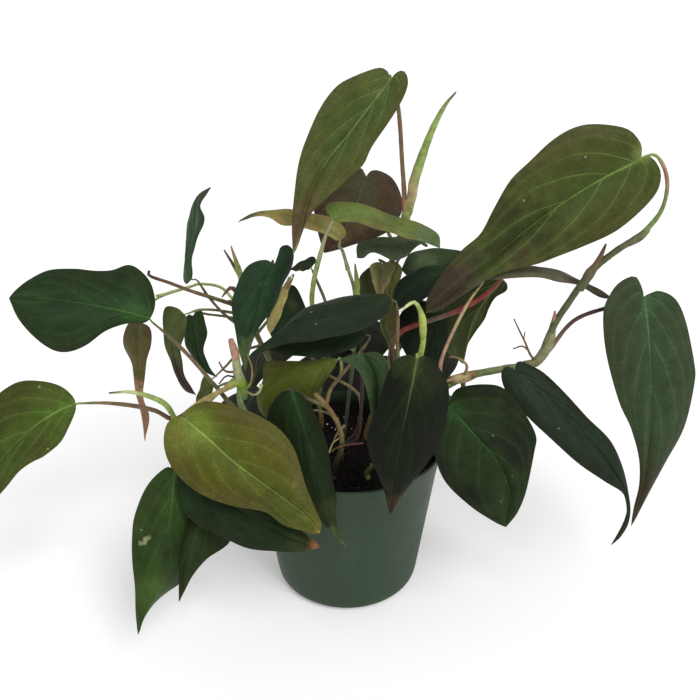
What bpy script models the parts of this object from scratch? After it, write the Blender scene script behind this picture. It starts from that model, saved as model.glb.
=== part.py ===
"""Trailing velvet-leaf philodendron growing in its round nursery pot, at rest."""

import math

import bmesh
import bpy
import numpy as np
from mathutils import Vector, geometry

MM = 0.001

# Pot and soil, in millimetres
POT_HEIGHT = 93.0
POT_RIM_RADIUS = 55.6
POT_BASE_RADIUS = 41.2
POT_WALL = 1.3
POT_LIP_DEPTH = 9.0
POT_LIP_FLARE = 1.4
POT_FLOOR = 2.0
POT_FOOT_ROUND = 5.0
POT_SIDES = 40
DRAIN_HOLES = 8
DRAIN_RADIUS = 4.0
DRAIN_RING_RADIUS = 28.0
SOIL_TOP = 80.0
SOIL_GAP = 0.5
SOIL_MOUND = 2.5
SOIL_LUMP = 1.0
STEM_HOLE_DEPTH = 13.0
STEM_HOLE_GAP = 0.45

# Leaves, in millimetres
BLADE_THICKNESS = 0.8
BLADE_BULGE = 0.06
JOINT_CLEAR = 0.95
MOST_JOINT_GAP = 4.0
JOINT_LEAD = 3.6
JOINT_HEEL = 0.6
VEIN_LAG = 1.5

# Strands no thicker than this have four sides, the others six
THIN_STRAND = 0.95

# The eye that the leaves were placed by, in millimetres from the middle of the pot's base
EYE_SIDE = 1.7
EYE_FRONT = 440.8
EYE_HEIGHT = 365.2
EYE_PITCH = math.radians(26.2)
EYE_FOCAL = 900.0
PICTURE_MIDDLE = 350.0
PICTURE_STEP = 0.53

COLLECTION_NAME = "velvet_philodendron"


def at(col, row, depth):
    """The point seen at this column and row of the picture, this deep behind the pot's middle."""
    across = (col - PICTURE_MIDDLE) / EYE_FOCAL
    down = (row - PICTURE_MIDDLE) / EYE_FOCAL
    forward = math.cos(EYE_PITCH) - down * math.sin(EYE_PITCH)
    upward = -math.sin(EYE_PITCH) - down * math.cos(EYE_PITCH)
    reach = (depth + EYE_FRONT) / forward
    return np.array([EYE_SIDE + reach * across, depth, EYE_HEIGHT + reach * upward])


def spot(x, y, z):
    return np.array([float(x), float(y), float(z)])


# Each leaf: its midrib as column, row and depth from the stalk to the tip, then its two margins as column
# and row.
# lean is how far each half goes back, for each millimetre it goes sideways in the picture.
# detail is the number of cross-lines and the number of strips in each half.
LEAVES = [
    dict(name="leaf_top", colour=(75, 85, 40), joint_extra=0.2, detail=(11, 2), lean=(-0.25, -0.1),
         rib=[(391, 79, 5), (350, 132, -5), (326, 162, -12), (310, 193, -19), (299, 240, -28), (293, 255, -30)],
         left=[(387, 71), (377, 68), (350, 78), (335, 88), (319, 110), (306, 139), (299, 162), (295, 188),
               (292, 220)],
         right=[(396, 73), (404, 71), (408, 84), (399, 106), (373, 145), (364, 164), (352, 175), (330, 195),
                (310, 215), (302, 233)]),
    dict(name="leaf_upper_right", colour=(72, 70, 36), detail=(12, 2), lean=(0.1, -0.25),
         rib=[(640, 160, 18), (600, 180, 14), (560, 205, 8), (520, 235, 2), (480, 270, -6), (450, 297, -12),
              (426, 313, -16)],
         left=[(642, 150), (638, 139), (625, 128), (595, 124), (573, 128), (551, 141), (529, 162), (510, 181),
               (493, 210), (480, 234), (461, 251), (440, 277), (427, 298)],
         right=[(648, 156), (656, 162), (661, 175), (656, 193), (636, 215), (613, 233), (584, 246), (558, 256),
                (537, 264), (510, 270), (484, 281), (458, 298), (438, 311)]),
    dict(name="leaf_far_right", colour=(60, 80, 60), detail=(11, 2), lean=(-0.2, 0.15),
         rib=[(643, 297, 0), (648, 329, -6), (651, 395, -16), (649, 439, -24), (641, 490, -34),
              (631, 526, -40)],
         left=[(640, 283), (634, 276), (620, 282), (610, 294), (603, 313), (606, 351), (618, 400), (631, 428),
               (639, 457), (639, 484), (634, 506)],
         right=[(649, 294), (660, 291), (676, 300), (687, 325), (694, 363), (694, 383), (685, 426), (665, 462),
                (647, 497)]),
    dict(name="leaf_lower_right", colour=(35, 55, 42), detail=(12, 2), lean=(-0.5, 0.6),
         rib=[(515, 371, -37), (545, 395, -42), (580, 430, -48), (608, 463, -53), (626, 500, -57),
              (624, 530, -61), (611, 545, -63)],
         left=[(507, 366), (501, 373), (504, 388), (513, 401), (537, 426), (573, 459), (604, 481), (622, 493),
               (627, 508), (623, 524)],
         right=[(518, 361), (532, 366), (543, 372), (555, 383), (571, 400), (587, 417), (609, 439), (621, 464),
                (628, 488), (630, 509), (626, 527)]),
    dict(name="leaf_front_right", colour=(45, 50, 30), joint_extra=-0.2, detail=(10, 2), lean=(0.1, -0.25),
         rib=[(450, 408, -46), (477, 437, -50), (500, 465, -56), (510, 495, -62), (506, 527, -68)],
         left=[(446, 393), (436, 406), (432, 435), (436, 461), (446, 482), (470, 506), (495, 522)],
         right=[(452, 395), (461, 387), (484, 384), (504, 389), (524, 412), (536, 435), (534, 453), (526, 491),
                (517, 513)]),
    dict(name="leaf_front_middle", colour=(35, 46, 32), detail=(11, 2), lean=(0.25, 0.2),
         rib=[(417, 359, -62), (411, 390, -66), (404, 424, -70), (396, 470, -75), (390, 516, -80)],
         left=[(409, 355), (395, 360), (386, 378), (379, 401), (370, 425), (367, 439), (370, 457), (378, 475),
               (384, 490)],
         right=[(425, 356), (435, 363), (446, 379), (449, 395), (446, 417), (437, 448), (426, 464),
                (404, 493)]),
    dict(name="leaf_small_folded", colour=(50, 80, 50), detail=(8, 2), lean=(-0.9, -0.8),
         rib=[(363, 354, -42), (374, 372, -46), (377, 395, -50), (375, 417, -53), (368, 440, -56)],
         left=[(352, 355), (340, 360), (352, 365), (360, 374), (366, 388), (369, 402), (371, 420)],
         right=[(372, 352), (381, 354), (388, 364), (389, 382), (385, 402), (380, 420)]),
    dict(name="leaf_middle_lying", colour=(40, 58, 42), detail=(10, 2), lean=(1.9, -1.6),
         rib=[(391, 299, -20), (370, 308, -20), (340, 315, -20), (305, 323, -22), (272, 341, -24),
              (249, 357, -26)],
         left=[(384, 294), (370, 294), (352, 296), (325, 301), (306, 308), (288, 323), (270, 340)],
         right=[(392, 304), (387, 314), (371, 325), (344, 335), (314, 340), (290, 343), (268, 350)]),
    dict(name="leaf_middle_under", colour=(38, 54, 40), detail=(8, 1), lean=(1.2, -1.0),
         rib=[(366, 334, -12), (346, 341, -13), (323, 345, -15), (295, 345, -17), (266, 350, -20)],
         left=[(360, 328), (340, 328), (318, 330), (292, 336)],
         right=[(362, 342), (346, 351), (323, 357), (295, 356)]),
    dict(name="leaf_middle_left", colour=(36, 68, 44), detail=(10, 2), lean=(-0.3, 0.9),
         rib=[(274, 265, -6), (264, 285, -9), (257, 312, -13), (248, 342, -19), (245, 372, -25)],
         left=[(267, 260), (257, 261), (247, 267), (239, 279), (234, 292), (232, 305), (234, 325), (239, 350)],
         right=[(278, 256), (281, 247), (288, 245), (293, 251), (293, 260), (290, 272), (283, 285), (276, 302),
                (270, 313), (259, 328), (251, 345)]),
    dict(name="leaf_far_left", colour=(36, 66, 38), detail=(11, 2), lean=(0.9, -0.5),
         rib=[(150, 319, -8), (112, 309, -10), (67, 301, -12), (40, 299, -14), (9, 298, -18)],
         left=[(154, 310), (155, 299), (150, 282), (138, 269), (127, 265), (112, 270), (94, 271), (74, 269),
               (49, 270), (29, 280), (16, 290)],
         right=[(143, 323), (125, 324), (105, 331), (85, 346), (67, 352), (51, 349), (33, 336), (18, 318)]),
    dict(name="leaf_low_far_left", colour=(66, 78, 36), detail=(10, 2), lean=(0.5, -0.4),
         rib=[(76, 404, -42), (57, 412, -45), (34, 427, -48), (20, 440, -50), (0, 461, -54), (-14, 486, -58),
              (-22, 515, -62)],
         left=[(73, 397), (65, 389), (55, 384), (40, 381), (22, 381), (8, 387), (-8, 401), (-20, 422),
               (-27, 452), (-27, 486)],
         right=[(75, 412), (69, 426), (60, 443), (44, 456), (32, 462), (20, 471), (8, 485), (-6, 500)]),
    dict(name="leaf_olive_front", colour=(115, 110, 45), detail=(12, 2), lean=(0.35, -0.3),
         rib=[(185, 419, -58), (210, 440, -62), (234, 462, -66), (279, 495, -74), (305, 514, -80),
              (320, 533, -86)],
         left=[(186, 412), (199, 403), (216, 402), (243, 409), (265, 419), (283, 433), (296, 453), (305, 484),
               (314, 506), (321, 522)],
         right=[(178, 416), (167, 424), (164, 444), (171, 466), (189, 486), (212, 499), (238, 507), (265, 512),
                (284, 525), (303, 531), (313, 534)]),
    dict(name="leaf_under_olive", colour=(40, 60, 36), detail=(9, 2), lean=(0.5, -0.3),
         rib=[(190, 466, -54), (215, 492, -60), (252, 517, -67), (290, 538, -74), (321, 547, -80)],
         left=[(200, 463), (225, 472), (255, 490), (280, 510), (299, 528)],
         right=[(181, 468), (178, 482), (180, 498), (185, 513), (198, 525), (222, 537), (247, 548), (274, 551),
                (300, 552)]),
    dict(name="leaf_low_left", colour=(45, 80, 36), joint_extra=-0.15, detail=(11, 2), lean=(0.2, 1.0),
         rib=[(174, 470, -56), (172, 500, -60), (168, 530, -66), (159, 563, -73), (148, 600, -82),
              (138, 635, -90)],
         left=[(167, 467), (155, 476), (146, 488), (138, 506), (133, 522), (132, 541), (133, 567), (135, 591),
               (136, 615)],
         right=[(182, 471), (194, 488), (202, 515), (202, 545), (193, 572), (179, 584), (164, 595), (152, 606),
                (143, 620)]),
    dict(name="leaf_low_left_inner", colour=(50, 80, 36), joint_extra=-0.1, detail=(9, 2), lean=(0.4, 0.2),
         rib=[(216, 506, -54), (198, 530, -61), (185, 560, -71), (181, 585, -77), (179, 602, -81)],
         left=[(207, 503), (192, 518), (182, 541), (179, 565), (179, 586)],
         right=[(225, 512), (231, 528), (229, 543), (208, 558), (193, 575), (184, 592)]),
    dict(name="leaf_front_left", colour=(42, 65, 38), detail=(11, 2), lean=(0.1, 0.9),
         rib=[(292, 391, -40), (303, 425, -46), (314, 460, -52), (324, 495, -60), (334, 528, -67),
              (347, 548, -71)],
         left=[(284, 391), (273, 402), (267, 419), (271, 434), (284, 450), (297, 472), (309, 497), (322, 522)],
         right=[(300, 393), (312, 408), (319, 422), (326, 441), (330, 460), (332, 478), (336, 498), (336, 518),
                (339, 534)]),
    dict(name="leaf_olive_folded", colour=(95, 95, 36), detail=(8, 2), lean=(0.8, 0.1),
         rib=[(337, 360, -24), (318, 371, -25), (295, 383, -26), (274, 400, -27), (268, 420, -28)],
         left=[(331, 358), (306, 361), (283, 361), (264, 363), (263, 380), (257, 395), (259, 409)],
         right=[(334, 368), (328, 377), (319, 390), (310, 408), (295, 420), (280, 425)]),
    dict(name="leaf_narrow_upright", colour=(50, 75, 50), detail=(8, 1), lean=(2.2, -2.2),
         rib=[(191, 280, 10), (189, 257, 8), (194, 235, 6), (197, 214, 5), (198, 198, 4), (211, 187, 3)],
         left=[(186, 284), (183, 277), (186, 257), (187, 236), (189, 218), (194, 201)],
         right=[(193, 272), (192, 256), (199, 236), (204, 218), (201, 204)]),
    dict(name="leaf_left_hanging", colour=(84, 76, 50), detail=(7, 1), lean=(0.9, -0.6),
         rib=[(140, 322, 15), (138, 345, 14), (140, 370, 12), (140, 392, 10), (146, 415, 8), (145, 441, 6)],
         left=[(130, 322), (124, 335), (124, 348), (133, 366), (135, 391), (141, 410)],
         right=[(150, 328), (151, 345), (147, 361), (144, 380), (144, 398), (149, 418)]),
    dict(name="leaf_olive_bit", colour=(88, 88, 46), detail=(6, 1), lean=(0.5, -0.4),
         rib=[(211, 379, -2), (206, 388, -4), (201, 398, -5), (196, 411, -6)],
         left=[(204, 376), (200, 388), (196, 400)],
         right=[(214, 385), (211, 394), (204, 405)]),
    dict(name="leaf_olive_tailed", colour=(80, 82, 44), detail=(8, 1), lean=(0.6, -0.6),
         rib=[(184, 314, 8), (175, 322, 6), (172, 338, 4), (175, 358, 2), (182, 378, 0), (196, 395, -2)],
         left=[(177, 308), (166, 307), (163, 320), (164, 341), (170, 358), (175, 374), (185, 390)],
         right=[(187, 319), (185, 333), (181, 348), (182, 362), (186, 378)]),
    dict(name="leaf_small_dark", colour=(30, 55, 36), detail=(7, 1), lean=(0.6, -0.7),
         rib=[(193, 316, 18), (194, 335, 18), (198, 352, 17), (205, 367, 17), (217, 377, 16)],
         left=[(188, 315), (184, 325), (186, 345), (194, 360), (204, 371)],
         right=[(200, 310), (205, 320), (207, 333), (204, 350), (208, 364)]),
    dict(name="leaf_tan_strip", colour=(160, 146, 92), detail=(6, 1), lean=(0.8, -0.2),
         rib=[(290, 277, 6), (285, 289, 5), (280, 306, 3), (270, 334, -2)],
         left=[(282, 288), (275, 306), (267, 324)],
         right=[(289, 288), (285, 303), (278, 322)]),
    dict(name="leaf_round_behind", colour=(38, 55, 40), detail=(7, 1), lean=(0.4, -0.3),
         rib=[(284, 290, 32), (288, 306, 31), (290, 324, 29), (290, 346, 26)],
         left=[(277, 291), (270, 306), (267, 324), (274, 340)],
         right=[(293, 285), (301, 296), (306, 309), (307, 326)]),
    dict(name="leaf_small_behind", colour=(40, 55, 42), detail=(6, 1), lean=(1.2, -1.0),
         rib=[(311, 267, 14), (303, 266, 14), (290, 270, 13)],
         left=[(316, 262), (314, 257), (306, 259), (297, 264)],
         right=[(308, 270), (302, 271), (296, 271)]),
    dict(name="leaf_tan_upper", colour=(150, 135, 75), detail=(9, 1), lean=(1.9, -1.5),
         rib=[(341, 240, 4), (325, 228, 4), (300, 219, 3), (275, 215, 1), (256, 215, 0), (238, 222, -2)],
         left=[(346, 234), (343, 226), (333, 219), (311, 213), (293, 210), (272, 210), (255, 213)],
         right=[(336, 240), (328, 236), (316, 231), (300, 227), (283, 225), (270, 218), (254, 217)]),
    dict(name="leaf_purple_behind", colour=(75, 60, 50), detail=(9, 2), lean=(0.1, 0.3),
         rib=[(365, 178, 32), (358, 200, 30), (345, 228, 27), (324, 253, 24)],
         left=[(362, 169), (350, 168), (333, 180), (315, 200), (317, 228)],
         right=[(371, 171), (380, 171), (393, 179), (401, 196), (401, 214), (388, 231), (371, 239), (356, 244),
                (340, 249)]),
    dict(name="leaf_light_green", colour=(105, 130, 60), detail=(10, 2), lean=(1.1, -1.4),
         rib=[(333, 219, -12), (350, 216, -12), (375, 222, -11), (400, 231, -9), (420, 237, -7),
              (440, 248, -5)],
         left=[(327, 213), (327, 205), (334, 202), (350, 202), (374, 208), (400, 218), (422, 224), (438, 234)],
         right=[(338, 222), (350, 222), (365, 225), (380, 230), (400, 236), (419, 241)]),
    dict(name="leaf_dark_under", colour=(45, 60, 50), detail=(8, 1), lean=(1.3, -1.2),
         rib=[(424, 242, 6), (402, 246, 5), (381, 247, 4), (365, 249, 4), (357, 258, 3)],
         left=[(419, 237), (405, 236), (388, 237), (371, 239), (358, 244)],
         right=[(414, 249), (405, 257), (395, 261), (384, 256), (371, 253), (363, 258)]),
    dict(name="leaf_brown_hanging", colour=(84, 74, 48), detail=(7, 1), lean=(-0.8, 0.4),
         rib=[(382, 264, 13), (380, 274, 12), (379, 287, 10), (379, 299, 9)],
         left=[(376, 262), (370, 267), (372, 279), (375, 290)],
         right=[(389, 262), (395, 266), (390, 279), (384, 291)]),
    dict(name="leaf_dark_arc", colour=(32, 46, 40), detail=(8, 1), lean=(1.2, -1.0),
         rib=[(446, 272, 8), (430, 279, 5), (412, 289, 2), (394, 305, -2)],
         left=[(438, 265), (425, 267), (407, 275), (394, 289)],
         right=[(444, 282), (432, 294), (420, 302), (406, 307)]),
    dict(name="leaf_long_dark", colour=(44, 62, 44), detail=(8, 1), lean=(1.4, -0.5),
         rib=[(476, 266, 24), (450, 258, 24), (425, 260, 23), (401, 270, 20)],
         left=[(466, 254), (450, 249), (428, 249), (410, 254)],
         right=[(468, 275), (450, 276), (428, 279), (412, 279)]),
    dict(name="leaf_olive_behind", colour=(70, 68, 42), detail=(6, 1), lean=(0.4, -0.3),
         rib=[(397, 262, 19), (390, 285, 18), (388, 305, 17), (392, 336, 15)],
         left=[(391, 264), (384, 280), (380, 300), (385, 322)],
         right=[(402, 270), (399, 288), (399, 308), (398, 324)]),
    dict(name="leaf_olive_behind_light", colour=(74, 70, 44), detail=(6, 1), lean=(0.4, -0.3),
         rib=[(373, 266, 19), (368, 277, 18), (368, 290, 17), (373, 305, 16)],
         left=[(367, 269), (360, 277), (359, 290), (364, 300)],
         right=[(378, 271), (379, 284), (378, 297)]),
    dict(name="leaf_dark_behind_shoot", colour=(38, 50, 42), detail=(7, 1), lean=(0.4, -0.3),
         rib=[(441, 311, 15), (434, 330, 14), (428, 348, 12), (425, 370, 10)],
         left=[(430, 303), (413, 303), (400, 315), (398, 336), (410, 360)],
         right=[(447, 321), (447, 340), (439, 360)]),
    dict(name="leaf_dark_right", colour=(50, 60, 38), joint_extra=0.15, detail=(9, 2), lean=(0.4, -0.3),
         joint_side=-1,
         rib=[(502, 279, 16), (487, 298, 18), (473, 322, 17), (463, 364, 12)],
         left=[(490, 279), (468, 286), (448, 299), (437, 320), (442, 346)],
         right=[(507, 284), (506, 291), (495, 298), (489, 308), (484, 320), (474, 334), (466, 348)]),
    dict(name="leaf_grey_edge", colour=(105, 98, 82), joint_extra=-0.15, detail=(9, 1), lean=(2.2, -1.6),
         rib=[(485, 277, -2), (520, 272, 2), (555, 276, 7), (590, 288, 12), (613, 299, 15)],
         left=[(496, 270), (520, 266), (538, 266), (556, 270), (578, 279), (600, 290)],
         right=[(496, 280), (520, 277), (538, 278), (556, 281), (576, 285), (600, 297)]),
]

# The plain leaves of the unseen back: stalk and tip, width, and the way the upper face looks.
BACK_LEAVES = [
    dict(name="leaf_back_high_left", colour=(48, 74, 44), base=(-38, 60, 128), tip=(-66, 92, 68), width=44,
         face=(-0.5, 0.75, 0.45)),
    dict(name="leaf_back_high_middle", colour=(66, 78, 40), joint_extra=0.2, base=(6, 70, 134),
         tip=(11, 106, 70), width=46, face=(0.0, 0.85, 0.5)),
    dict(name="leaf_back_high_right", colour=(42, 64, 44), base=(42, 58, 134), tip=(66, 90, 74), width=44,
         face=(0.45, 0.8, 0.4)),
    dict(name="leaf_back_low_left", colour=(40, 66, 40), base=(-12, 66, 113), tip=(-17, 88, 44), width=50,
         face=(-0.25, 0.92, 0.2)),
    dict(name="leaf_back_low_right", colour=(58, 72, 40), base=(19, 62, 112), tip=(25, 84, 44), width=51,
         face=(0.25, 0.92, 0.2)),
    dict(name="leaf_back_far_left", colour=(56, 76, 42), base=(-54, 44, 100), tip=(-78, 64, 38), width=44,
         face=(-0.35, 0.9, 0.3)),
    dict(name="leaf_back_far_right", colour=(46, 66, 42), joint_extra=0.3, base=(58, 42, 98), tip=(100, 60, 42),
         width=40, face=(0.75, 0.55, 0.3)),
]

# Half outline of a plain leaf, as shares of its length and of its width
PLAIN_OUTLINE = [(-0.07, 0.08), (-0.13, 0.22), (-0.08, 0.36), (0.06, 0.46), (0.25, 0.5), (0.45, 0.43),
                 (0.65, 0.28), (0.8, 0.13), (0.92, 0.04)]
PLAIN_DROOP = 0.1


def smooth(points, count):
    """The points joined by an even curve and spaced alike along it."""
    points = np.asarray(points, float)
    ends = np.vstack([2 * points[0] - points[1], points, 2 * points[-1] - points[-2]])
    share = np.linspace(0, 1, 13)[:-1, None]
    spans = []
    for a, b, c, d in zip(ends, ends[1:], ends[2:], ends[3:]):
        bend = 2 * a - 5 * b + 4 * c - d
        twist = 3 * b - a - 3 * c + d
        spans.append(b + 0.5 * share * (c - a + share * (bend + share * twist)))
    line = np.vstack(spans + [points[-1:]])
    steps = np.linalg.norm(np.diff(line, axis=0), axis=1)
    length = np.concatenate([[0], np.cumsum(steps)])
    wanted = np.linspace(0, length[-1], count)
    return np.column_stack([np.interp(wanted, length, line[:, i]) for i in range(line.shape[1])])


def margin_depth(rib, col_row, lean):
    """How deep a margin point lies: that of the midrib beside it, and more or less by the lean."""
    start = rib[0, :2]
    onward = rib[4, :2] - start
    onward_length = np.linalg.norm(onward)
    onward = onward / onward_length
    behind = float(np.dot(col_row - start, onward))
    if behind < 0:
        slope = (rib[4, 2] - rib[0, 2]) / onward_length
        aside = np.linalg.norm(col_row - start - behind * onward)
        return rib[0, 2] + slope * behind + lean * aside * PICTURE_STEP
    away = np.linalg.norm(rib[:, :2] - col_row, axis=1)
    nearest = int(np.argmin(away))
    return rib[nearest, 2] + lean * away[nearest] * PICTURE_STEP


def placed_margin(leaf, side, lean, count):
    rib = smooth(leaf["rib"], 80)
    flat = smooth([leaf["rib"][0][:2]] + leaf[side] + [leaf["rib"][-1][:2]], count)
    depths = np.array([margin_depth(rib, point, lean) for point in flat])
    depths[1:-1] = (depths[:-2] + depths[1:-1] + depths[2:]) / 3
    return np.array([at(point[0], point[1], depth) for point, depth in zip(flat, depths)])


def placed_lines(leaf, lines):
    """Midrib and both margins of a leaf that the picture shows."""
    rib = np.array([at(*point) for point in smooth(leaf["rib"], 60)])
    left = placed_margin(leaf, "left", leaf["lean"][0], lines + 1)
    right = placed_margin(leaf, "right", leaf["lean"][1], lines + 1)
    return rib, left, right


def plain_lines(leaf, lines):
    """Midrib and both margins of a leaf at the back."""
    base = spot(*leaf["base"])
    onward = spot(*leaf["tip"]) - base
    length = np.linalg.norm(onward)
    face = spot(*leaf["face"])
    face -= onward * np.dot(face, onward) / length**2
    face /= np.linalg.norm(face)
    aside = np.cross(face, onward / length)

    def point(along, across):
        rise = 4 * PLAIN_DROOP * along * (1 - along) - 0.25 * abs(across) * leaf["width"] / length
        return base + onward * along + aside * across * leaf["width"] + face * rise * length

    rib = np.array([point(share, 0) for share in np.linspace(0, 1, 60)])
    sides = []
    for sign in (-1, 1):
        outline = [point(along, sign * across) for along, across in PLAIN_OUTLINE]
        sides.append(smooth([rib[0]] + outline + [rib[-1]], lines + 1))
    return rib, sides[0], sides[1]


def lines_of(leaf, lines):
    return placed_lines(leaf, lines) if "rib" in leaf else plain_lines(leaf, lines)


def blade_points(leaf, lines, strips):
    """Rows of points across the blade: the first and the last row are the single points at stalk and tip."""
    rib, left, right = lines_of(leaf, lines)
    width = np.linalg.norm(left - right, axis=1).max()
    rows = [[rib[0]]]
    for step in range(1, lines):
        place = (step / lines) ** VEIN_LAG * (len(rib) - 1)
        low = int(place)
        middle = rib[low] + (place - low) * (rib[min(low + 1, len(rib) - 1)] - rib[low])
        row = []
        for side, edge in ((-1, left[step]), (1, right[step])):
            half = []
            for strip in range(1, strips + 1):
                share = strip / strips
                half.append((share, middle + share * (edge - middle)))
            row.append(half if side == 1 else half[::-1])
        across = right[step] - left[step]
        onward = rib[min(low + 2, len(rib) - 1)] - rib[max(low - 2, 0)]
        normal = np.cross(across, onward)
        normal /= max(np.linalg.norm(normal), 1e-9)
        lift = normal * width * BLADE_BULGE
        left_points = [point + 4 * lift * share * (1 - share) for share, point in row[0]]
        right_points = [point + 4 * lift * share * (1 - share) for share, point in row[1]]
        rows.append(left_points + [middle] + right_points)
    rows.append([rib[-1]])
    return rows


def blade_triangles(rows):
    """The blade's middle surface as triangles of points."""
    found = []
    for lower, upper in zip(rows, rows[1:]):
        for j in range(max(len(lower), len(upper)) - 1):
            if len(lower) == 1:
                found.append((lower[0], upper[j], upper[j + 1]))
            elif len(upper) == 1:
                found.append((lower[j], upper[0], lower[j + 1]))
            elif j < len(lower) // 2:
                found.append((lower[j], upper[j], lower[j + 1]))
                found.append((lower[j + 1], upper[j], upper[j + 1]))
            else:
                found.append((lower[j], upper[j + 1], lower[j + 1]))
                found.append((lower[j], upper[j], upper[j + 1]))
    return found


def distance_to(point, triangles):
    """How far a point lies from the nearest of these triangles."""
    place = Vector(point)
    corners = [[Vector(corner) for corner in triangle] for triangle in triangles]
    return min((geometry.closest_point_on_tri(place, *triangle) - place).length for triangle in corners)


def stalk_joint(leaf, radius):
    """The last three points of a stalk, which ends just under the blade and square to it."""
    rows = blade_points(leaf, *detail_of(leaf))
    base = rows[0][0]
    onward = rows[3][len(rows[3]) // 2] - base
    across = rows[2][-1] - rows[2][0]
    back = np.cross(across, onward)
    back /= np.linalg.norm(back)
    if "face" in leaf:
        facing_back = np.dot(back, spot(*leaf["face"])) < 0
    else:
        facing_back = back[1] > 0
    back = (back if facing_back else -back) * leaf.get("joint_side", 1)
    heel = -onward / np.linalg.norm(onward)
    aside = np.cross(back, heel)
    near_blade = blade_triangles(rows[:6])
    clear = JOINT_CLEAR + leaf.get("joint_extra", 0.0)
    gap = BLADE_THICKNESS
    while gap < MOST_JOINT_GAP:
        end = base + gap * back + JOINT_HEEL * heel
        near = end + 0.45 * JOINT_LEAD * back + 0.3 * heel
        rim = [centre + radius * (math.cos(turn) * aside + math.sin(turn) * heel)
               for centre in (end, near) for turn in np.linspace(0, math.tau, 8, endpoint=False)]
        if min(distance_to(point, near_blade) for point in rim + [end]) > clear:
            break
        gap += 0.1
    return near + 0.55 * JOINT_LEAD * back + 0.9 * heel, near, end


def detail_of(leaf):
    return leaf.get("detail", (9, 2))


def linear(level):
    share = level / 255
    return share / 12.92 if share <= 0.04045 else ((share + 0.055) / 1.055) ** 2.4


def material(name, colour, roughness, metallic=0.0):
    made = bpy.data.materials.new(name)
    made.use_nodes = True
    shader = made.node_tree.nodes["Principled BSDF"]
    levels = [linear(level) for level in colour]
    shader.inputs["Base Color"].default_value = (*levels, 1.0)
    shader.inputs["Roughness"].default_value = roughness
    shader.inputs["Metallic"].default_value = metallic
    made.diffuse_color = (*levels, 1.0)
    return made


def clear_scene():
    for obj in list(bpy.data.objects):
        bpy.data.objects.remove(obj, do_unlink=True)


def collection(name, hidden=False):
    made = bpy.data.collections.new(name)
    bpy.context.scene.collection.children.link(made)
    made.hide_render = hidden
    return made


def finish(obj, home, look):
    home.objects.link(obj)
    obj.data.materials.clear()
    obj.data.materials.append(look)
    return obj


def blade(leaf, home):
    """A leaf blade: an open surface in triangles, given its thickness by a Solidify modifier."""
    rows = blade_points(leaf, *detail_of(leaf))
    mesh = bpy.data.meshes.new(leaf["name"])
    surface = bmesh.new()
    verts = [[surface.verts.new(Vector(point) * MM) for point in row] for row in rows]
    for corners in blade_triangles(verts):
        surface.faces.new(corners)
    surface.to_mesh(mesh)
    surface.free()
    obj = finish(bpy.data.objects.new(leaf["name"], mesh), home, material(leaf["name"], leaf["colour"], 0.75))
    shell = obj.modifiers.new("thickness", "SOLIDIFY")
    shell.thickness = BLADE_THICKNESS * MM
    shell.offset = 0.0
    return obj


def tube(points, radii, sides_level=1):
    """A closed tube mesh through these points, in millimetres."""
    curve = bpy.data.curves.new("tube", "CURVE")
    curve.dimensions = "3D"
    curve.bevel_depth = MM
    curve.bevel_resolution = sides_level
    curve.use_fill_caps = True
    spline = curve.splines.new("POLY")
    spline.points.add(len(points) - 1)
    for knot, point, radius in zip(spline.points, points, radii):
        knot.co = (*(Vector(point) * MM), 1.0)
        knot.radius = radius
    holder = bpy.data.objects.new("tube", curve)
    bpy.context.scene.collection.objects.link(holder)
    bpy.context.view_layer.update()
    evaluated = holder.evaluated_get(bpy.context.evaluated_depsgraph_get())
    mesh = bpy.data.meshes.new_from_object(evaluated)
    bpy.data.objects.remove(holder, do_unlink=True)
    bpy.data.curves.remove(curve)
    shape = bmesh.new()
    shape.from_mesh(mesh)
    bmesh.ops.remove_doubles(shape, verts=shape.verts, dist=1e-6)
    bmesh.ops.triangulate(shape, faces=shape.faces)
    bmesh.ops.recalc_face_normals(shape, faces=shape.faces)
    shape.to_mesh(mesh)
    shape.free()
    return mesh


def strand(points, start_radius, end_radius=None, step=13.0):
    """A tube along a smooth line, its radius changing evenly from start to end."""
    points = np.asarray(points, float)
    end_radius = start_radius if end_radius is None else end_radius
    length = np.linalg.norm(np.diff(points, axis=0), axis=1).sum()
    count = max(3, int(length / step) + 2)
    line = smooth(points, count)
    level = 1 if start_radius > THIN_STRAND else 0
    return tube(line, np.linspace(start_radius, end_radius, count), level)


def bulb(points, radii, level=1):
    """A sheath, a node's swelling or a shoot: a tube with a radius for each point."""
    points = np.asarray(points, float)
    count = max(len(points) + 1, 5)
    line = smooth(points, count)
    places = np.linspace(0, 1, len(radii))
    return tube(line, np.interp(np.linspace(0, 1, count), places, radii), level)


def applied(obj):
    """The object's mesh with its modifiers applied."""
    bpy.context.view_layer.update()
    evaluated = obj.evaluated_get(bpy.context.evaluated_depsgraph_get())
    mesh = bpy.data.meshes.new_from_object(evaluated)
    obj.modifiers.clear()
    obj.data = mesh
    return obj


def combined(base, others, operation):
    """The base object joined with, or cut by, each mesh in turn."""
    for number, mesh in enumerate(others):
        tool = bpy.data.objects.new(f"{base.name}_tool_{number}", mesh)
        bpy.context.scene.collection.objects.link(tool)
        change = base.modifiers.new("change", "BOOLEAN")
        change.operation = operation
        change.solver = "MANIFOLD"
        change.object = tool
        applied(base)
        bpy.data.objects.remove(tool, do_unlink=True)
    return base


def stem(name, home, colour, pieces):
    """One growing stem with everything that is part of it, as one solid."""
    obj = bpy.data.objects.new(name, pieces[0])
    bpy.context.scene.collection.objects.link(obj)
    combined(obj, pieces[1:], "UNION")
    bpy.context.scene.collection.objects.unlink(obj)
    return finish(obj, home, material(name, colour, 0.6))


LEAF_BY_NAME = {leaf["name"]: leaf for leaf in LEAVES + BACK_LEAVES}


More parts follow.
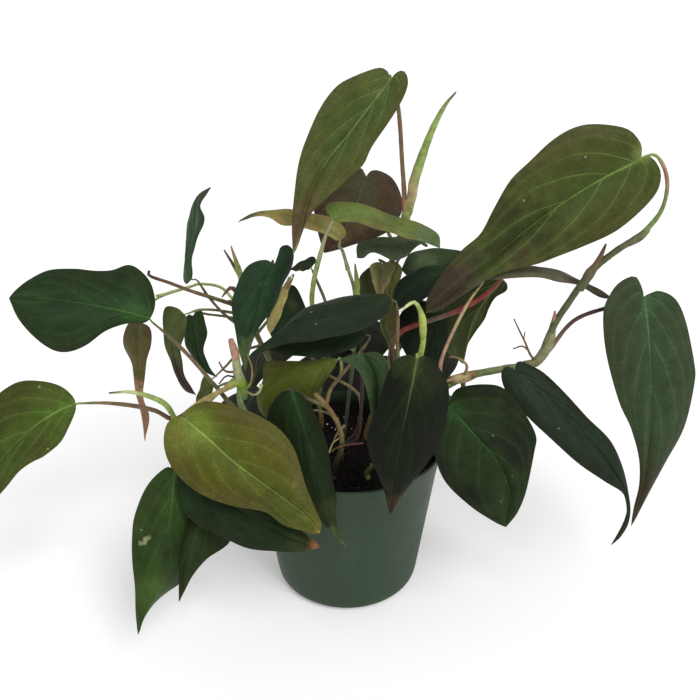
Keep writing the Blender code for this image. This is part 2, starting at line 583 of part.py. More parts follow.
def stalk(leaf_name, way, radius=1.05, root_radius=1.3):
    """A leaf stalk from a point inside the stem, along the way, to the underside of the leaf."""
    ending = stalk_joint(LEAF_BY_NAME[leaf_name], radius)
    return strand(list(way) + list(ending), root_radius, radius)


def rooted(x, y, way, radius):
    """The main stem: it stands in its hole in the soil at x and y and goes along the way."""
    foot = [spot(x, y, SOIL_TOP - STEM_HOLE_DEPTH + 1.5), spot(x, y, SOIL_TOP), spot(x, y, SOIL_TOP + 6)]
    return strand(foot + list(way), radius, radius * 0.8)


STEM_FEET = {
    "stem_right": (26, -16, 2.1),
    "stem_top": (12, 18, 2.0),
    "stem_light": (-3, -6, 1.15),
    "stem_left": (-24, -12, 2.0),
    "stem_left_back": (-26, 14, 1.8),
    "stem_red": (24, 8, 1.6),
    "stem_cream": (12, -24, 1.6),
    "stem_front": (-8, -26, 1.6),
    "stem_low_left": (-36, -2, 1.6),
    "stem_back_left": (-16, 32, 1.8),
    "stem_back_right": (20, 32, 1.8),
}


def foot_of(name, way):
    x, y, radius = STEM_FEET[name]
    return rooted(x, y, way, radius)


def stem_right_pieces():
    first_node = at(463, 378, -35)
    second_node = at(536, 362, -25)
    third_node = at(590, 273, -8)
    fourth_node = at(641, 236, 4)
    vine = [at(405, 440, -34), at(432, 398, -38), first_node, at(502, 369, -30), second_node, at(548, 338, -21),
            at(557, 320, -17), at(567, 305, -13), third_node, at(616, 251, -2), fourth_node]
    return [
        foot_of("stem_right", vine),
        bulb([at(449, 380, -37), first_node, at(478, 373, -33)], [1.9, 2.9, 1.9]),
        bulb([at(524, 364, -27), second_node, at(548, 345, -22), at(553, 326, -18), at(555, 311, -16)],
             [1.8, 2.7, 2.7, 1.9, 0.5]),
        bulb([at(580, 290, -10), third_node, at(597, 264, -6), at(606, 244, -5)], [1.8, 2.7, 1.6, 0.5]),
        bulb([at(628, 244, 1), fourth_node, at(648, 229, 6)], [1.7, 2.4, 1.6]),
        stalk("leaf_upper_right", [fourth_node, at(660, 213, 12), at(667, 190, 20), at(665, 170, 24),
                                   at(655, 155, 24)], 1.1, 1.6),
        stalk("leaf_far_right", [at(538, 361, -25), at(550, 349, -15), at(566, 328, -6), at(580, 317, 0),
                                 at(603, 309, 6), at(630, 303, 8)], 1.1, 1.5),
        stalk("leaf_lower_right", [at(502, 369, -30), at(508, 369, -32)], 1.0, 1.4),
        stalk("leaf_front_right", [first_node, at(462, 392, -36)], 1.0, 1.5),
        stalk("leaf_grey_edge", [at(440, 388, -38), at(441, 362, -26), at(452, 334, -14), at(468, 303, -4)],
              0.9, 1.3),
        strand([second_node, at(530, 354, -27), at(525, 342, -29), at(516, 323, -30)], 0.9, 0.5),
        strand([at(525, 343, -29), at(521, 348, -30), at(513, 350, -32)], 0.7, 0.45),
        strand([first_node, at(467, 366, -38), at(458, 358, -41), at(449, 357, -42)], 0.9, 0.5),
        strand([at(453, 379, -37), at(442, 384, -44), at(436, 396, -48)], 0.8, 0.45),
    ]


def stem_top_pieces():
    node = at(406, 216, 12)
    return [
        foot_of("stem_top", [at(391, 356, 22), at(383, 325, 28), at(385, 285, 32), at(399, 240, 20), node]),
        bulb([at(402, 230, 15), node, at(408, 200, 11)], [1.7, 2.5, 1.5]),
        stalk("leaf_top", [at(405, 220, 12), at(404, 190, 12), at(402, 160, 12), at(400, 125, 12),
                           at(397, 100, 12)],
              1.15, 1.5),
        bulb([at(408, 214, 12), at(412, 195, 10), at(415, 178, 8), at(430, 135, 5), at(444, 107, 3),
              at(456, 92, 2)],
             [2.0, 2.6, 2.4, 1.8, 1.3, 0.4]),
        stalk("leaf_purple_behind", [at(396, 248, 22), at(386, 228, 40), at(374, 200, 44)], 0.9, 1.2),
        stalk("leaf_dark_under", [at(400, 237, 19), at(412, 240, 16), at(420, 242, 13)], 0.8, 1.1),
        stalk("leaf_brown_hanging", [at(386, 276, 30), at(388, 266, 24)], 0.8, 1.1),
        stalk("leaf_long_dark", [at(384, 305, 30), at(420, 288, 38), at(462, 276, 38)], 0.9, 1.2),
        stalk("leaf_olive_behind", [at(386, 280, 31), at(395, 266, 28)], 0.7, 1.0),
        stalk("leaf_olive_behind_light", [at(385, 290, 31), at(377, 273, 28)], 0.7, 1.0),
        stalk("leaf_dark_behind_shoot", [at(383, 318, 29), at(412, 302, 32), at(434, 304, 25)], 0.8, 1.1),
        stalk("leaf_dark_arc", [at(384, 310, 30), at(412, 292, 27), at(440, 280, 18)], 0.8, 1.1),
    ]


def stem_light_pieces():
    return [
        foot_of("stem_light", [at(344, 436, -8), at(349, 395, -6), at(354, 350, -2), at(355, 297, 2),
                               at(347, 265, 7)]),
        stalk("leaf_tan_upper", [at(348, 270, 7), at(343, 252, 9)], 0.9, 1.3),
        stalk("leaf_light_green", [at(354, 350, -2), at(318, 322, 1), at(312, 303, 0), at(314, 280, -2),
                                   at(319, 259, -4), at(325, 238, -6)], 1.15, 1.3),
        bulb([at(357, 303, 2), at(357, 284, 0), at(355, 264, -2)], [1.5, 1.6, 0.4]),
        stalk("leaf_small_behind", [at(355, 330, 0), at(331, 313, 13), at(323, 295, 17), at(316, 279, 19)],
              0.7, 1.0),
        strand([at(345, 425, -8), at(336, 436, -14), at(330, 452, -18)], 0.8, 0.4),
    ]


def stem_left_pieces():
    node = at(240, 381, -36)
    return [
        foot_of("stem_left", [at(284, 444, -14), at(255, 423, -29), at(241, 404, -36), node]),
        bulb([at(244, 398, -35), node, at(226, 388, -39)], [2.2, 3.3, 2.0]),
        bulb([at(245, 388, -35), node, at(237, 368, -38), at(235, 353, -40), at(232, 344, -41),
              at(231, 340, -42)],
             [2.6, 3.2, 2.2, 2.15, 1.95, 1.4]),
        stalk("leaf_far_left", [at(248, 414, -32), at(231, 404, -34), at(218, 389, -33), at(204, 373, -30),
                                at(190, 357, -24), at(171, 338, -17)], 1.05, 1.5),
        stalk("leaf_low_far_left", [at(232, 386, -38), at(217, 393, -41), at(199, 403, -43), at(175, 419, -43),
                                    at(156, 411, -42), at(135, 406, -40), at(105, 403, -38)], 1.25, 1.7),
        stalk("leaf_olive_front", [at(217, 393, -41), at(200, 410, -47)], 1.0, 1.5),
        bulb([at(175, 419, -45), at(166, 405, -48), at(151, 397, -49), at(130, 392, -50), at(109, 393, -51)],
             [1.4, 1.5, 1.3, 0.9, 0.4]),
        strand([at(246, 389, -35), at(251, 382, -39), at(252, 368, -42), at(247, 354, -44)], 0.8, 0.4),
        strand([at(236, 372, -37), at(225, 371, -42), at(219, 362, -45)], 0.7, 0.4),
        strand([at(245, 391, -35), at(254, 395, -39), at(260, 391, -41), at(261, 385, -42)], 0.7, 0.6),
    ]


def stem_left_back_pieces():
    knot = at(238, 306, 20)
    return [
        foot_of("stem_left_back", [at(288, 400, 20), at(262, 345, 22), knot]),
        bulb([at(242, 314, 20), knot, at(228, 302, 19)], [1.7, 2.3, 1.4]),
        strand([knot, at(213, 298, 16), at(191, 291, 12), at(170, 283, 8), at(150, 276, 5), at(149, 271, 5)],
               1.35, 1.0),
        strand([knot, at(222, 288, 24), at(201, 284, 26), at(189, 287, 26), at(156, 296, 24)], 0.9, 0.7),
        stalk("leaf_left_hanging", [at(189, 287, 26), at(160, 297, 25), at(146, 308, 23)], 0.7, 0.9),
        stalk("leaf_narrow_upright", [at(240, 326, 21), at(223, 313, 17), at(208, 296, 16)], 0.8, 1.1),
        stalk("leaf_olive_tailed", [at(240, 314, 20), at(215, 310, 18), at(198, 310, 14)], 0.75, 1.0),
        stalk("leaf_small_dark", [at(244, 320, 21), at(222, 316, 25), at(206, 314, 26)], 0.7, 1.0),
        stalk("leaf_middle_left", [at(250, 325, 20), at(272, 296, 14), at(271, 278, 6)], 0.9, 1.2),
        stalk("leaf_olive_bit", [at(262, 345, 22), at(240, 352, 22), at(226, 366, 8)], 0.7, 1.0),
        stalk("leaf_tan_strip", [at(256, 335, 21), at(280, 305, 18), at(290, 284, 14)], 0.7, 1.0),
        stalk("leaf_round_behind", [at(262, 345, 22), at(257, 325, 38), at(268, 302, 44)], 0.7, 1.0),
        bulb([knot, at(242, 288, 18), at(240, 274, 16), at(231, 246, 14)], [1.5, 2.0, 1.5, 0.4]),
        bulb([at(241, 279, 17), at(234, 266, 18), at(224, 250, 20)], [1.1, 1.0, 0.4]),
        bulb([knot, at(236, 292, 12), at(230, 288, 9), at(222, 297, 7)], [0.9, 1.2, 1.3, 0.4]),
    ]


def stem_red_pieces():
    return [
        foot_of("stem_red", [at(395, 400, 6), at(392, 350, 2), at(400, 333, 0), at(416, 325, 0),
                             at(438, 318, 2), at(461, 310, 4)]),
        stalk("leaf_dark_right", [at(455, 312, 4), at(478, 300, 7), at(492, 289, 9)], 1.3, 1.35),
    ]


def stem_cream_pieces():
    return [
        foot_of("stem_cream", [at(400, 440, -44), at(413, 395, -50), at(419, 362, -52), at(423, 343, -51),
                               at(423, 330, -50)]),
        bulb([at(423, 338, -51), at(423, 326, -50), at(422, 316, -49), at(418, 306, -49), at(414, 302, -49),
              at(408, 305, -50), at(400, 312, -50)], [1.6, 1.9, 1.8, 1.15, 0.95, 0.75, 0.4]),
        stalk("leaf_front_middle", [at(412, 400, -50), at(414, 380, -52)], 1.0, 1.4),
        stalk("leaf_middle_lying", [at(408, 415, -48), at(398, 355, -28), at(398, 318, -12)], 1.0, 1.4),
    ]


def stem_front_pieces():
    return [
        foot_of("stem_front", [at(342, 446, -33), at(338, 424, -34), at(326, 405, -34), at(315, 394, -33)]),
        stalk("leaf_front_left", [at(326, 405, -34), at(308, 399, -34)], 1.0, 1.3),
        stalk("leaf_olive_folded", [at(326, 405, -34), at(331, 388, -28), at(341, 374, -21)], 0.9, 1.2),
        stalk("leaf_small_folded", [at(342, 446, -33), at(357, 438, -34), at(361, 410, -36), at(362, 384, -36)],
              0.9, 1.2),
        stalk("leaf_middle_under", [at(331, 388, -28), at(352, 362, -18), at(366, 344, -8)], 0.8, 1.1),
        bulb([at(338, 426, -34), at(325, 413, -31), at(311, 405, -30)], [1.2, 1.2, 0.5]),
        strand([at(342, 446, -33), at(357, 418, -31), at(357, 397, -27), at(343, 383, -23), at(326, 373, -18)],
               1.0, 0.7),
    ]


def stem_low_left_pieces():
    return [
        foot_of("stem_low_left", [at(268, 448, -20), at(238, 446, -34), at(214, 450, -42)]),
        stalk("leaf_under_olive", [at(225, 448, -38), at(204, 456, -42)], 0.9, 1.3),
        stalk("leaf_low_left", [at(216, 449, -41), at(188, 458, -48)], 1.0, 1.3),
        stalk("leaf_low_left_inner", [at(236, 446, -35), at(232, 478, -40)], 0.9, 1.2),
    ]


def stem_back_left_pieces():
    return [
        foot_of("stem_back_left", [spot(-18, 40, 106), spot(-12, 46, 128)]),
        stalk("leaf_back_high_left", [spot(-16, 42, 114), spot(-30, 50, 132)], 1.0, 1.4),
        stalk("leaf_back_high_middle", [spot(-13, 45, 124), spot(1, 59, 138)], 1.0, 1.4),
        stalk("leaf_back_low_left", [spot(-17, 38, 100), spot(-15, 52, 114)], 1.0, 1.4),
        stalk("leaf_back_far_left", [spot(-17, 36, 96), spot(-36, 32, 103), spot(-49, 36, 105)], 1.0, 1.4),
    ]


def stem_back_right_pieces():
    return [
        foot_of("stem_back_right", [spot(24, 40, 106), spot(30, 46, 126)]),
        stalk("leaf_back_high_right", [spot(28, 44, 120), spot(38, 50, 138)], 1.0, 1.4),
        stalk("leaf_back_low_right", [spot(23, 38, 100), spot(21, 49, 111)], 1.0, 1.4),
        stalk("leaf_back_far_right", [spot(22, 36, 96), spot(40, 34, 104), spot(53, 36, 103)], 1.0, 1.4),
    ]


STEMS = [
    ("stem_right", (104, 124, 62), stem_right_pieces),
    ("stem_top", (112, 128, 70), stem_top_pieces),
    ("stem_light", (136, 150, 92), stem_light_pieces),
    ("stem_left", (124, 116, 72), stem_left_pieces),
    ("stem_left_back", (112, 92, 62), stem_left_back_pieces),
    ("stem_red", (160, 62, 58), stem_red_pieces),
    ("stem_cream", (176, 190, 120), stem_cream_pieces),
    ("stem_front", (120, 100, 66), stem_front_pieces),
    ("stem_low_left", (104, 110, 62), stem_low_left_pieces),
    ("stem_back_left", (104, 118, 64), stem_back_left_pieces),
    ("stem_back_right", (104, 118, 64), stem_back_right_pieces),
]


def wall_radius(height):
    """Outer radius of the pot's straight side at this height."""
    top = POT_RIM_RADIUS - POT_LIP_FLARE
    return POT_BASE_RADIUS + (top - POT_BASE_RADIUS) * height / POT_HEIGHT


def turned(name, profile):
    """A shape turned about the upright axis from its closed half outline, in millimetres."""
    mesh = bpy.data.meshes.new(name)
    mesh.from_pydata([(radius * MM, 0.0, height * MM) for radius, height in profile],
                     [(i, i + 1) for i in range(len(profile) - 1)], [])
    obj = bpy.data.objects.new(name, mesh)
    bpy.context.scene.collection.objects.link(obj)
    screw = obj.modifiers.new("turn", "SCREW")
    screw.angle = math.tau
    screw.steps = POT_SIDES
    screw.render_steps = POT_SIDES
    screw.use_merge_vertices = True
    screw.merge_threshold = 0.0001
    screw.use_normal_calculate = True
    applied(obj)
    shape = bmesh.new()
    shape.from_mesh(obj.data)
    bmesh.ops.remove_doubles(shape, verts=shape.verts, dist=1e-5)
    bmesh.ops.recalc_face_normals(shape, faces=shape.faces)
    shape.to_mesh(obj.data)
    shape.free()
    bpy.context.scene.collection.objects.unlink(obj)
    return obj


def make_pot(home):
    lip_low = POT_HEIGHT - POT_LIP_DEPTH
    inner_floor = wall_radius(POT_FLOOR) - POT_WALL
    profile = [
        (0.0, 0.0),
        (POT_BASE_RADIUS - POT_FOOT_ROUND, 0.0),
        (POT_BASE_RADIUS - 2.2, 0.9),
        (POT_BASE_RADIUS + 0.1, 3.4),
        (wall_radius(POT_FOOT_ROUND + 2), POT_FOOT_ROUND + 2),
        (wall_radius(lip_low - 1.5), lip_low - 1.5),
        (wall_radius(lip_low) + POT_LIP_FLARE * 0.8, lip_low),
        (POT_RIM_RADIUS - 0.3, POT_HEIGHT - 1.6),
        (POT_RIM_RADIUS, POT_HEIGHT - 0.6),
        (POT_RIM_RADIUS - 0.8, POT_HEIGHT),
        (POT_RIM_RADIUS - POT_WALL - 0.4, POT_HEIGHT - 0.5),
        (wall_radius(lip_low) - POT_WALL + 0.3, lip_low),
        (inner_floor, POT_FLOOR + 3.0),
        (inner_floor - 3.0, POT_FLOOR),
        (0.0, POT_FLOOR),
    ]
    obj = turned("pot", profile)
    drains = []
    for number in range(DRAIN_HOLES):
        angle = math.tau * (number + 0.5) / DRAIN_HOLES
        x = DRAIN_RING_RADIUS * math.cos(angle)
        y = DRAIN_RING_RADIUS * math.sin(angle)
        drains.append(tube([spot(x, y, -2), spot(x, y, POT_FLOOR + 1)], [DRAIN_RADIUS, DRAIN_RADIUS], 2))
    bpy.context.scene.collection.objects.link(obj)
    combined(obj, drains, "DIFFERENCE")
    bpy.context.scene.collection.objects.unlink(obj)
    return finish(obj, home, material("pot", (72, 98, 84), 0.55))


def soil_height(x, y):
    """Height of the lumpy soil surface."""
    lumps = math.sin(x * 0.31 + 1.3) * math.cos(y * 0.27 - 0.4) + 0.6 * math.sin(x * 0.12 - y * 0.52)
    fall = 1 - (x * x + y * y) / (POT_RIM_RADIUS - 4) ** 2
    return SOIL_TOP - 1.5 + SOIL_MOUND * max(fall, 0) + SOIL_LUMP * lumps


def make_soil(home):
    rings = 5
    sides = 24
    rim = wall_radius(SOIL_TOP - 4) - POT_WALL - SOIL_GAP
    low_rim = wall_radius(POT_FLOOR + 4) - POT_WALL - SOIL_GAP - 0.3
    shape = bmesh.new()
    middle = shape.verts.new(Vector((0, 0, soil_height(0, 0))) * MM)
    loops = []
    for ring in range(1, rings + 1):
        loop = []
        for side in range(sides):
            angle = math.tau * side / sides
            x = rim * ring / rings * math.cos(angle)
            y = rim * ring / rings * math.sin(angle)
            z = SOIL_TOP - 5.0 if ring == rings else soil_height(x, y)
            loop.append(shape.verts.new(Vector((x, y, z)) * MM))
        loops.append(loop)
    for radius, height in ((low_rim, POT_FLOOR + 4), (low_rim - 3.5, POT_FLOOR + SOIL_GAP)):
        loop = []
        for side in range(sides):
            angle = math.tau * side / sides
            loop.append(shape.verts.new(Vector((radius * math.cos(angle), radius * math.sin(angle),
                                                height)) * MM))
        loops.append(loop)
    for side in range(sides):
        after = (side + 1) % sides
        shape.faces.new((middle, loops[0][side], loops[0][after]))
        for inner, outer in zip(loops, loops[1:]):
            shape.faces.new((inner[side], outer[side], outer[after]))
            shape.faces.new((inner[side], outer[after], inner[after]))
    shape.faces.new(loops[-1])
    bmesh.ops.recalc_face_normals(shape, faces=shape.faces)
    mesh = bpy.data.meshes.new("soil")
    shape.to_mesh(mesh)
    shape.free()
    obj = bpy.data.objects.new("soil", mesh)
    bpy.context.scene.collection.objects.link(obj)
    holes = []
    for x, y, radius in STEM_FEET.values():
        bottom = spot(x, y, SOIL_TOP - STEM_HOLE_DEPTH)
        holes.append(tube([bottom, spot(x, y, SOIL_TOP + 12)], [radius + STEM_HOLE_GAP] * 2, 2))
    combined(obj, holes, "DIFFERENCE")
    bpy.context.scene.collection.objects.unlink(obj)
    return finish(obj, home, material("soil", (42, 34, 30), 0.95))


def main():
    clear_scene()
    home = collection(COLLECTION_NAME)
    make_pot(home)
    make_soil(home)
    for leaf in LEAVES + BACK_LEAVES:
        blade(leaf, home)
    for name, colour, pieces in STEMS:
        stem(name, home, colour, pieces())


main()
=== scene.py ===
"""Looks of the velvet-leaf philodendron in its nursery pot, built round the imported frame."""

import math

import bmesh
import bpy
import numpy as np
from mathutils import Euler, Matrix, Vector, noise


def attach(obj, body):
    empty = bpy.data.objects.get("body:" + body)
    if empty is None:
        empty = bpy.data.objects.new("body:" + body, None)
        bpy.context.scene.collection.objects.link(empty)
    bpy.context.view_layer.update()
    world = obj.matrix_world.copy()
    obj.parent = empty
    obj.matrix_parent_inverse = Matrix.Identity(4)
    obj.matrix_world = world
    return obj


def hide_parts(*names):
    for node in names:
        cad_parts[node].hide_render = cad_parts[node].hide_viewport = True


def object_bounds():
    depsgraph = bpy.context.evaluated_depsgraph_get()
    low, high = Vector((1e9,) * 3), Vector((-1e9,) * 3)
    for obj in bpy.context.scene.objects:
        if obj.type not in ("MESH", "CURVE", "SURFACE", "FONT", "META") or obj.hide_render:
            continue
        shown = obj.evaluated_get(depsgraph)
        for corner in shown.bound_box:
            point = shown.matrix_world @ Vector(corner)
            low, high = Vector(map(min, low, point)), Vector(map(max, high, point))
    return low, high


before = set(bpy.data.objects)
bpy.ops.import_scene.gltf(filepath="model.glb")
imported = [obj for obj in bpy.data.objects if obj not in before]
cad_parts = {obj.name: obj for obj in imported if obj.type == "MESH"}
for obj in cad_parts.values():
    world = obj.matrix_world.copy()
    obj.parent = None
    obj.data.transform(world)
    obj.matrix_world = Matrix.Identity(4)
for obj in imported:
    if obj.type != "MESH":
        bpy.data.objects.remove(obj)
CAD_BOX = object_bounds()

MM = 0.001
SEED = 11
CURVE_STEPS = 12

# Pot and soil, in millimetres, as in the frame
POT_HEIGHT = 93.0
POT_RIM_RADIUS = 55.6
POT_BASE_RADIUS = 41.2
POT_WALL = 1.3
POT_LIP_DEPTH = 9.0
POT_LIP_FLARE = 1.4
POT_FLOOR = 2.0
POT_FOOT_ROUND = 5.0
POT_CORNER = 2.2
CORNER_LIMIT = 0.45
CORNER_POINTS = 6
POT_SIDES = 144
HARD_EDGE = math.radians(40)
DRAIN_HOLES = 8
DRAIN_RADIUS = 4.0
DRAIN_RING_RADIUS = 28.0
DRAIN_SIDES = 32
# Over how many millimetres below the lip the painted shade on the inner wall fades out
INNER_SHADE_FADE = 3.0
SOIL_TOP = 80.0
SOIL_GAP = 0.5
SOIL_MOUND = 2.5
SOIL_LUMP = 1.0
SOIL_CLOD = 0.9
SOIL_RINGS = 44
SOIL_SIDES = 120
SOIL_SIDE = 4.0
SOIL_EDGE = 3.0
SOIL_EDGE_FALL = 0.8

# Leaf blades, in millimetres
BLADE_LINES = 56
BLADE_STRIPS = 12
BLADE_SPREAD = 1.35
BLADE_THICKNESS = 0.5
BLADE_EDGE = 0.28
BLADE_BULGE = 0.05
BLADE_CREASE = math.radians(55)
VEIN_LAG = 1.5
VEIN_STARTS = (-1.0, -0.75, -0.52, -0.3, -0.1, 0.1, 0.28, 0.5, 0.76, 1.05, 1.4)
VEIN_RISE = 0.42
VEIN_SWEEP = 0.25
VEIN_POWER = 6.0
VEIN_SHIFT = 0.035
VEIN_TURN = 2.4
SPREAD_LIMITS = (0.4, 30.0)
QUILT = 0.45
MIDRIB_RIDGE = 0.55
RIDGE_WIDTH = 0.9
RIDGE_TAPER = 0.85
RIDGE_ABOVE = 0.25
MARGIN_WAVE = 0.45
MARGIN_WAVES = 3.1
WAVE_START = 0.37
WAVE_OFFSET = 0.22

# How many points a midrib has, and which of them and of the lines across give a blade its directions
RIB_POINTS = 60
DEPTH_POINTS = 80
DEPTH_SMOOTHING = 14
START_POINT = 4
HEEL_POINT = 10
JOINT_LINE = 12

# Stems, in millimetres
STEM_SINK = 11.5
FOOT_RISE = 6.0
STEM_TAPER = 0.8
TUBE_SIDES = 12
TUBE_STEP = 2.2
TUBE_WOBBLE = 0.035
TUBE_RIDGES = 0.03
RIDGE_COUNT = 4
TUBE_TWIST = 1.7
TUBE_ROUND = 0.5
TUBE_START = (0.31, 0.87, 0.38)

# The last points of a leaf stalk: how far each lies under the blade, and how far behind its base
STALK_LEAD = (3.6, 1.4)
STALK_NEAR = (1.0, 0.5)
STALK_END = (0.45, -2.0)
STALK_TAPER = 0.35

# The eye that the leaves were placed by, in millimetres from the middle of the pot's base
EYE_SIDE = 1.7
EYE_FRONT = 440.8
EYE_HEIGHT = 365.2
EYE_PITCH = math.radians(26.2)
EYE_FOCAL = 900.0
PICTURE_MIDDLE = 350.0
PICTURE_SIDE = 700.0
PICTURE_STEP = 0.53
SENSOR = 36.0

# Colours as they look, from 0 to 255
BLADE_DARK = (34, 38, 28)
BLADE_GREEN = (58, 96, 46)
BLADE_VEIN = (126, 156, 92)
BLADE_UNDER = (92, 62, 52)
POT_GREEN = (39, 58, 39)
POT_DUSTY = (44, 64, 43)
POT_DUST = (62, 76, 58)
SOIL_DARK = (19, 15, 13)
SOIL_BROWN = (30, 24, 19)
SOIL_BARK = (54, 40, 29)
PERLITE = (214, 208, 196)

# Crumbs of the soil: the smallest and the largest, how long for their width, and their colour
WHITE_CRUMB = (0.4, 1.0, 1.0, PERLITE)
BARK_CRUMB = (0.4, 0.9, 2.6, SOIL_BARK)
BROWN_CRUMB = (0.5, 1.4, 1.2, SOIL_BROWN)
CRUMBS = 900
CRUMB_INSET = 2.5
CRUMB_FLATNESS = 0.7
CRUMB_ROUGHNESS = (0.75, 1.15)
WHITE_SHARE = 0.035
WHITE_SHARE_IN_FRONT = 0.16
FRONT_STRIP = -36.0
BARK_SHARE = 0.3

# Noise of the paints: how fine it is, in waves to the metre, and how detailed. The streaks are drawn out
# upwards.
BLADE_CLOUDS = (48.0, 3.0)
BLADE_MOTTLE = (150.0, 4.0)
BLADE_FLECKS = (700.0, 3.0)
BLADE_GRAIN = (900.0, 2.0)
UNDER_MOTTLE = (130.0, 4.0)
UNDER_GRAIN = (1900.0, 2.0)
STALK_MOTTLE = (260.0, 4.0)
STALK_GRAIN = (1500.0, 3.0)
POT_CLOUDS = (22.0, 4.0)
POT_STREAKS = (70.0, 3.0)
STREAK_STRETCH = (1.0, 1.0, 0.12)
POT_GRAIN = (900.0, 3.0)
SOIL_MOTTLE = (220.0, 5.0)
SOIL_GRAIN = (1100.0, 4.0)
FLOOR_CLOUDS = (3.0, 3.0)

# How far to each side of its middle a noise is taken
NOISE_SPAN = 0.2
WIDE_SPAN = 0.25
FLECK_SPAN = 0.15

# Studio, in metres
NEAREST_SEEN = 0.01
FLOOR_PALE = (250, 250, 250)
FLOOR_GLOW = 0.22
FLOOR_RADIUS = 30.0
FLOOR_SIDES = 96
SKY_COLOUR = (1.0, 1.0, 1.0, 1.0)
SKY_STRENGTH = 0.56
KEY_STRENGTH = 1.5
KEY_SOFTNESS = math.radians(28)
KEY_FROM = (0.45, -0.75, 1.0)

# Colours of the stalks, stems and roots
GREEN = (100, 122, 58)
LIGHT = (140, 160, 84)
CREAM = (196, 204, 138)
SHOOT = (158, 170, 84)
GREY_GREEN = (112, 132, 96)
OLIVE = (112, 108, 64)
BROWN = (110, 82, 58)
PINK = (178, 122, 100)
CAP = (174, 132, 110)
RED = (146, 56, 50)
ORANGE = (128, 98, 62)
PALE = (158, 164, 118)
WHITE = (226, 224, 206)
GREY_BROWN = (104, 98, 78)
PURPLE = (104, 62, 58)
TAN = (180, 158, 116)
BARK = (120, 96, 68)
DARK = (58, 48, 38)
DULL = (66, 72, 52)
MAROON = (58, 34, 36)
ROOT = (132, 118, 78)
SAGE = (128, 130, 94)
FERN = (112, 132, 70)
MOSS = (76, 82, 48)
KHAKI = (96, 93, 62)
BLUSH = (172, 134, 110)
LIME = (118, 146, 30)
STRAW = (170, 156, 98)
PLUM = (74, 44, 42)
ROSE = (140, 52, 48)


def at(col, row, depth):
    """The point seen at this column and row of the picture, this deep behind the pot's middle."""
    across = (col - PICTURE_MIDDLE) / EYE_FOCAL
    down = (row - PICTURE_MIDDLE) / EYE_FOCAL
    forward = math.cos(EYE_PITCH) - down * math.sin(EYE_PITCH)
    upward = -math.sin(EYE_PITCH) - down * math.cos(EYE_PITCH)
    reach = (depth + EYE_FRONT) / forward
    return np.array([EYE_SIDE + reach * across, depth, EYE_HEIGHT + reach * upward])


def spot(x, y, z):
    """A point in space, in millimetres."""
    return np.array([float(x), float(y), float(z)])


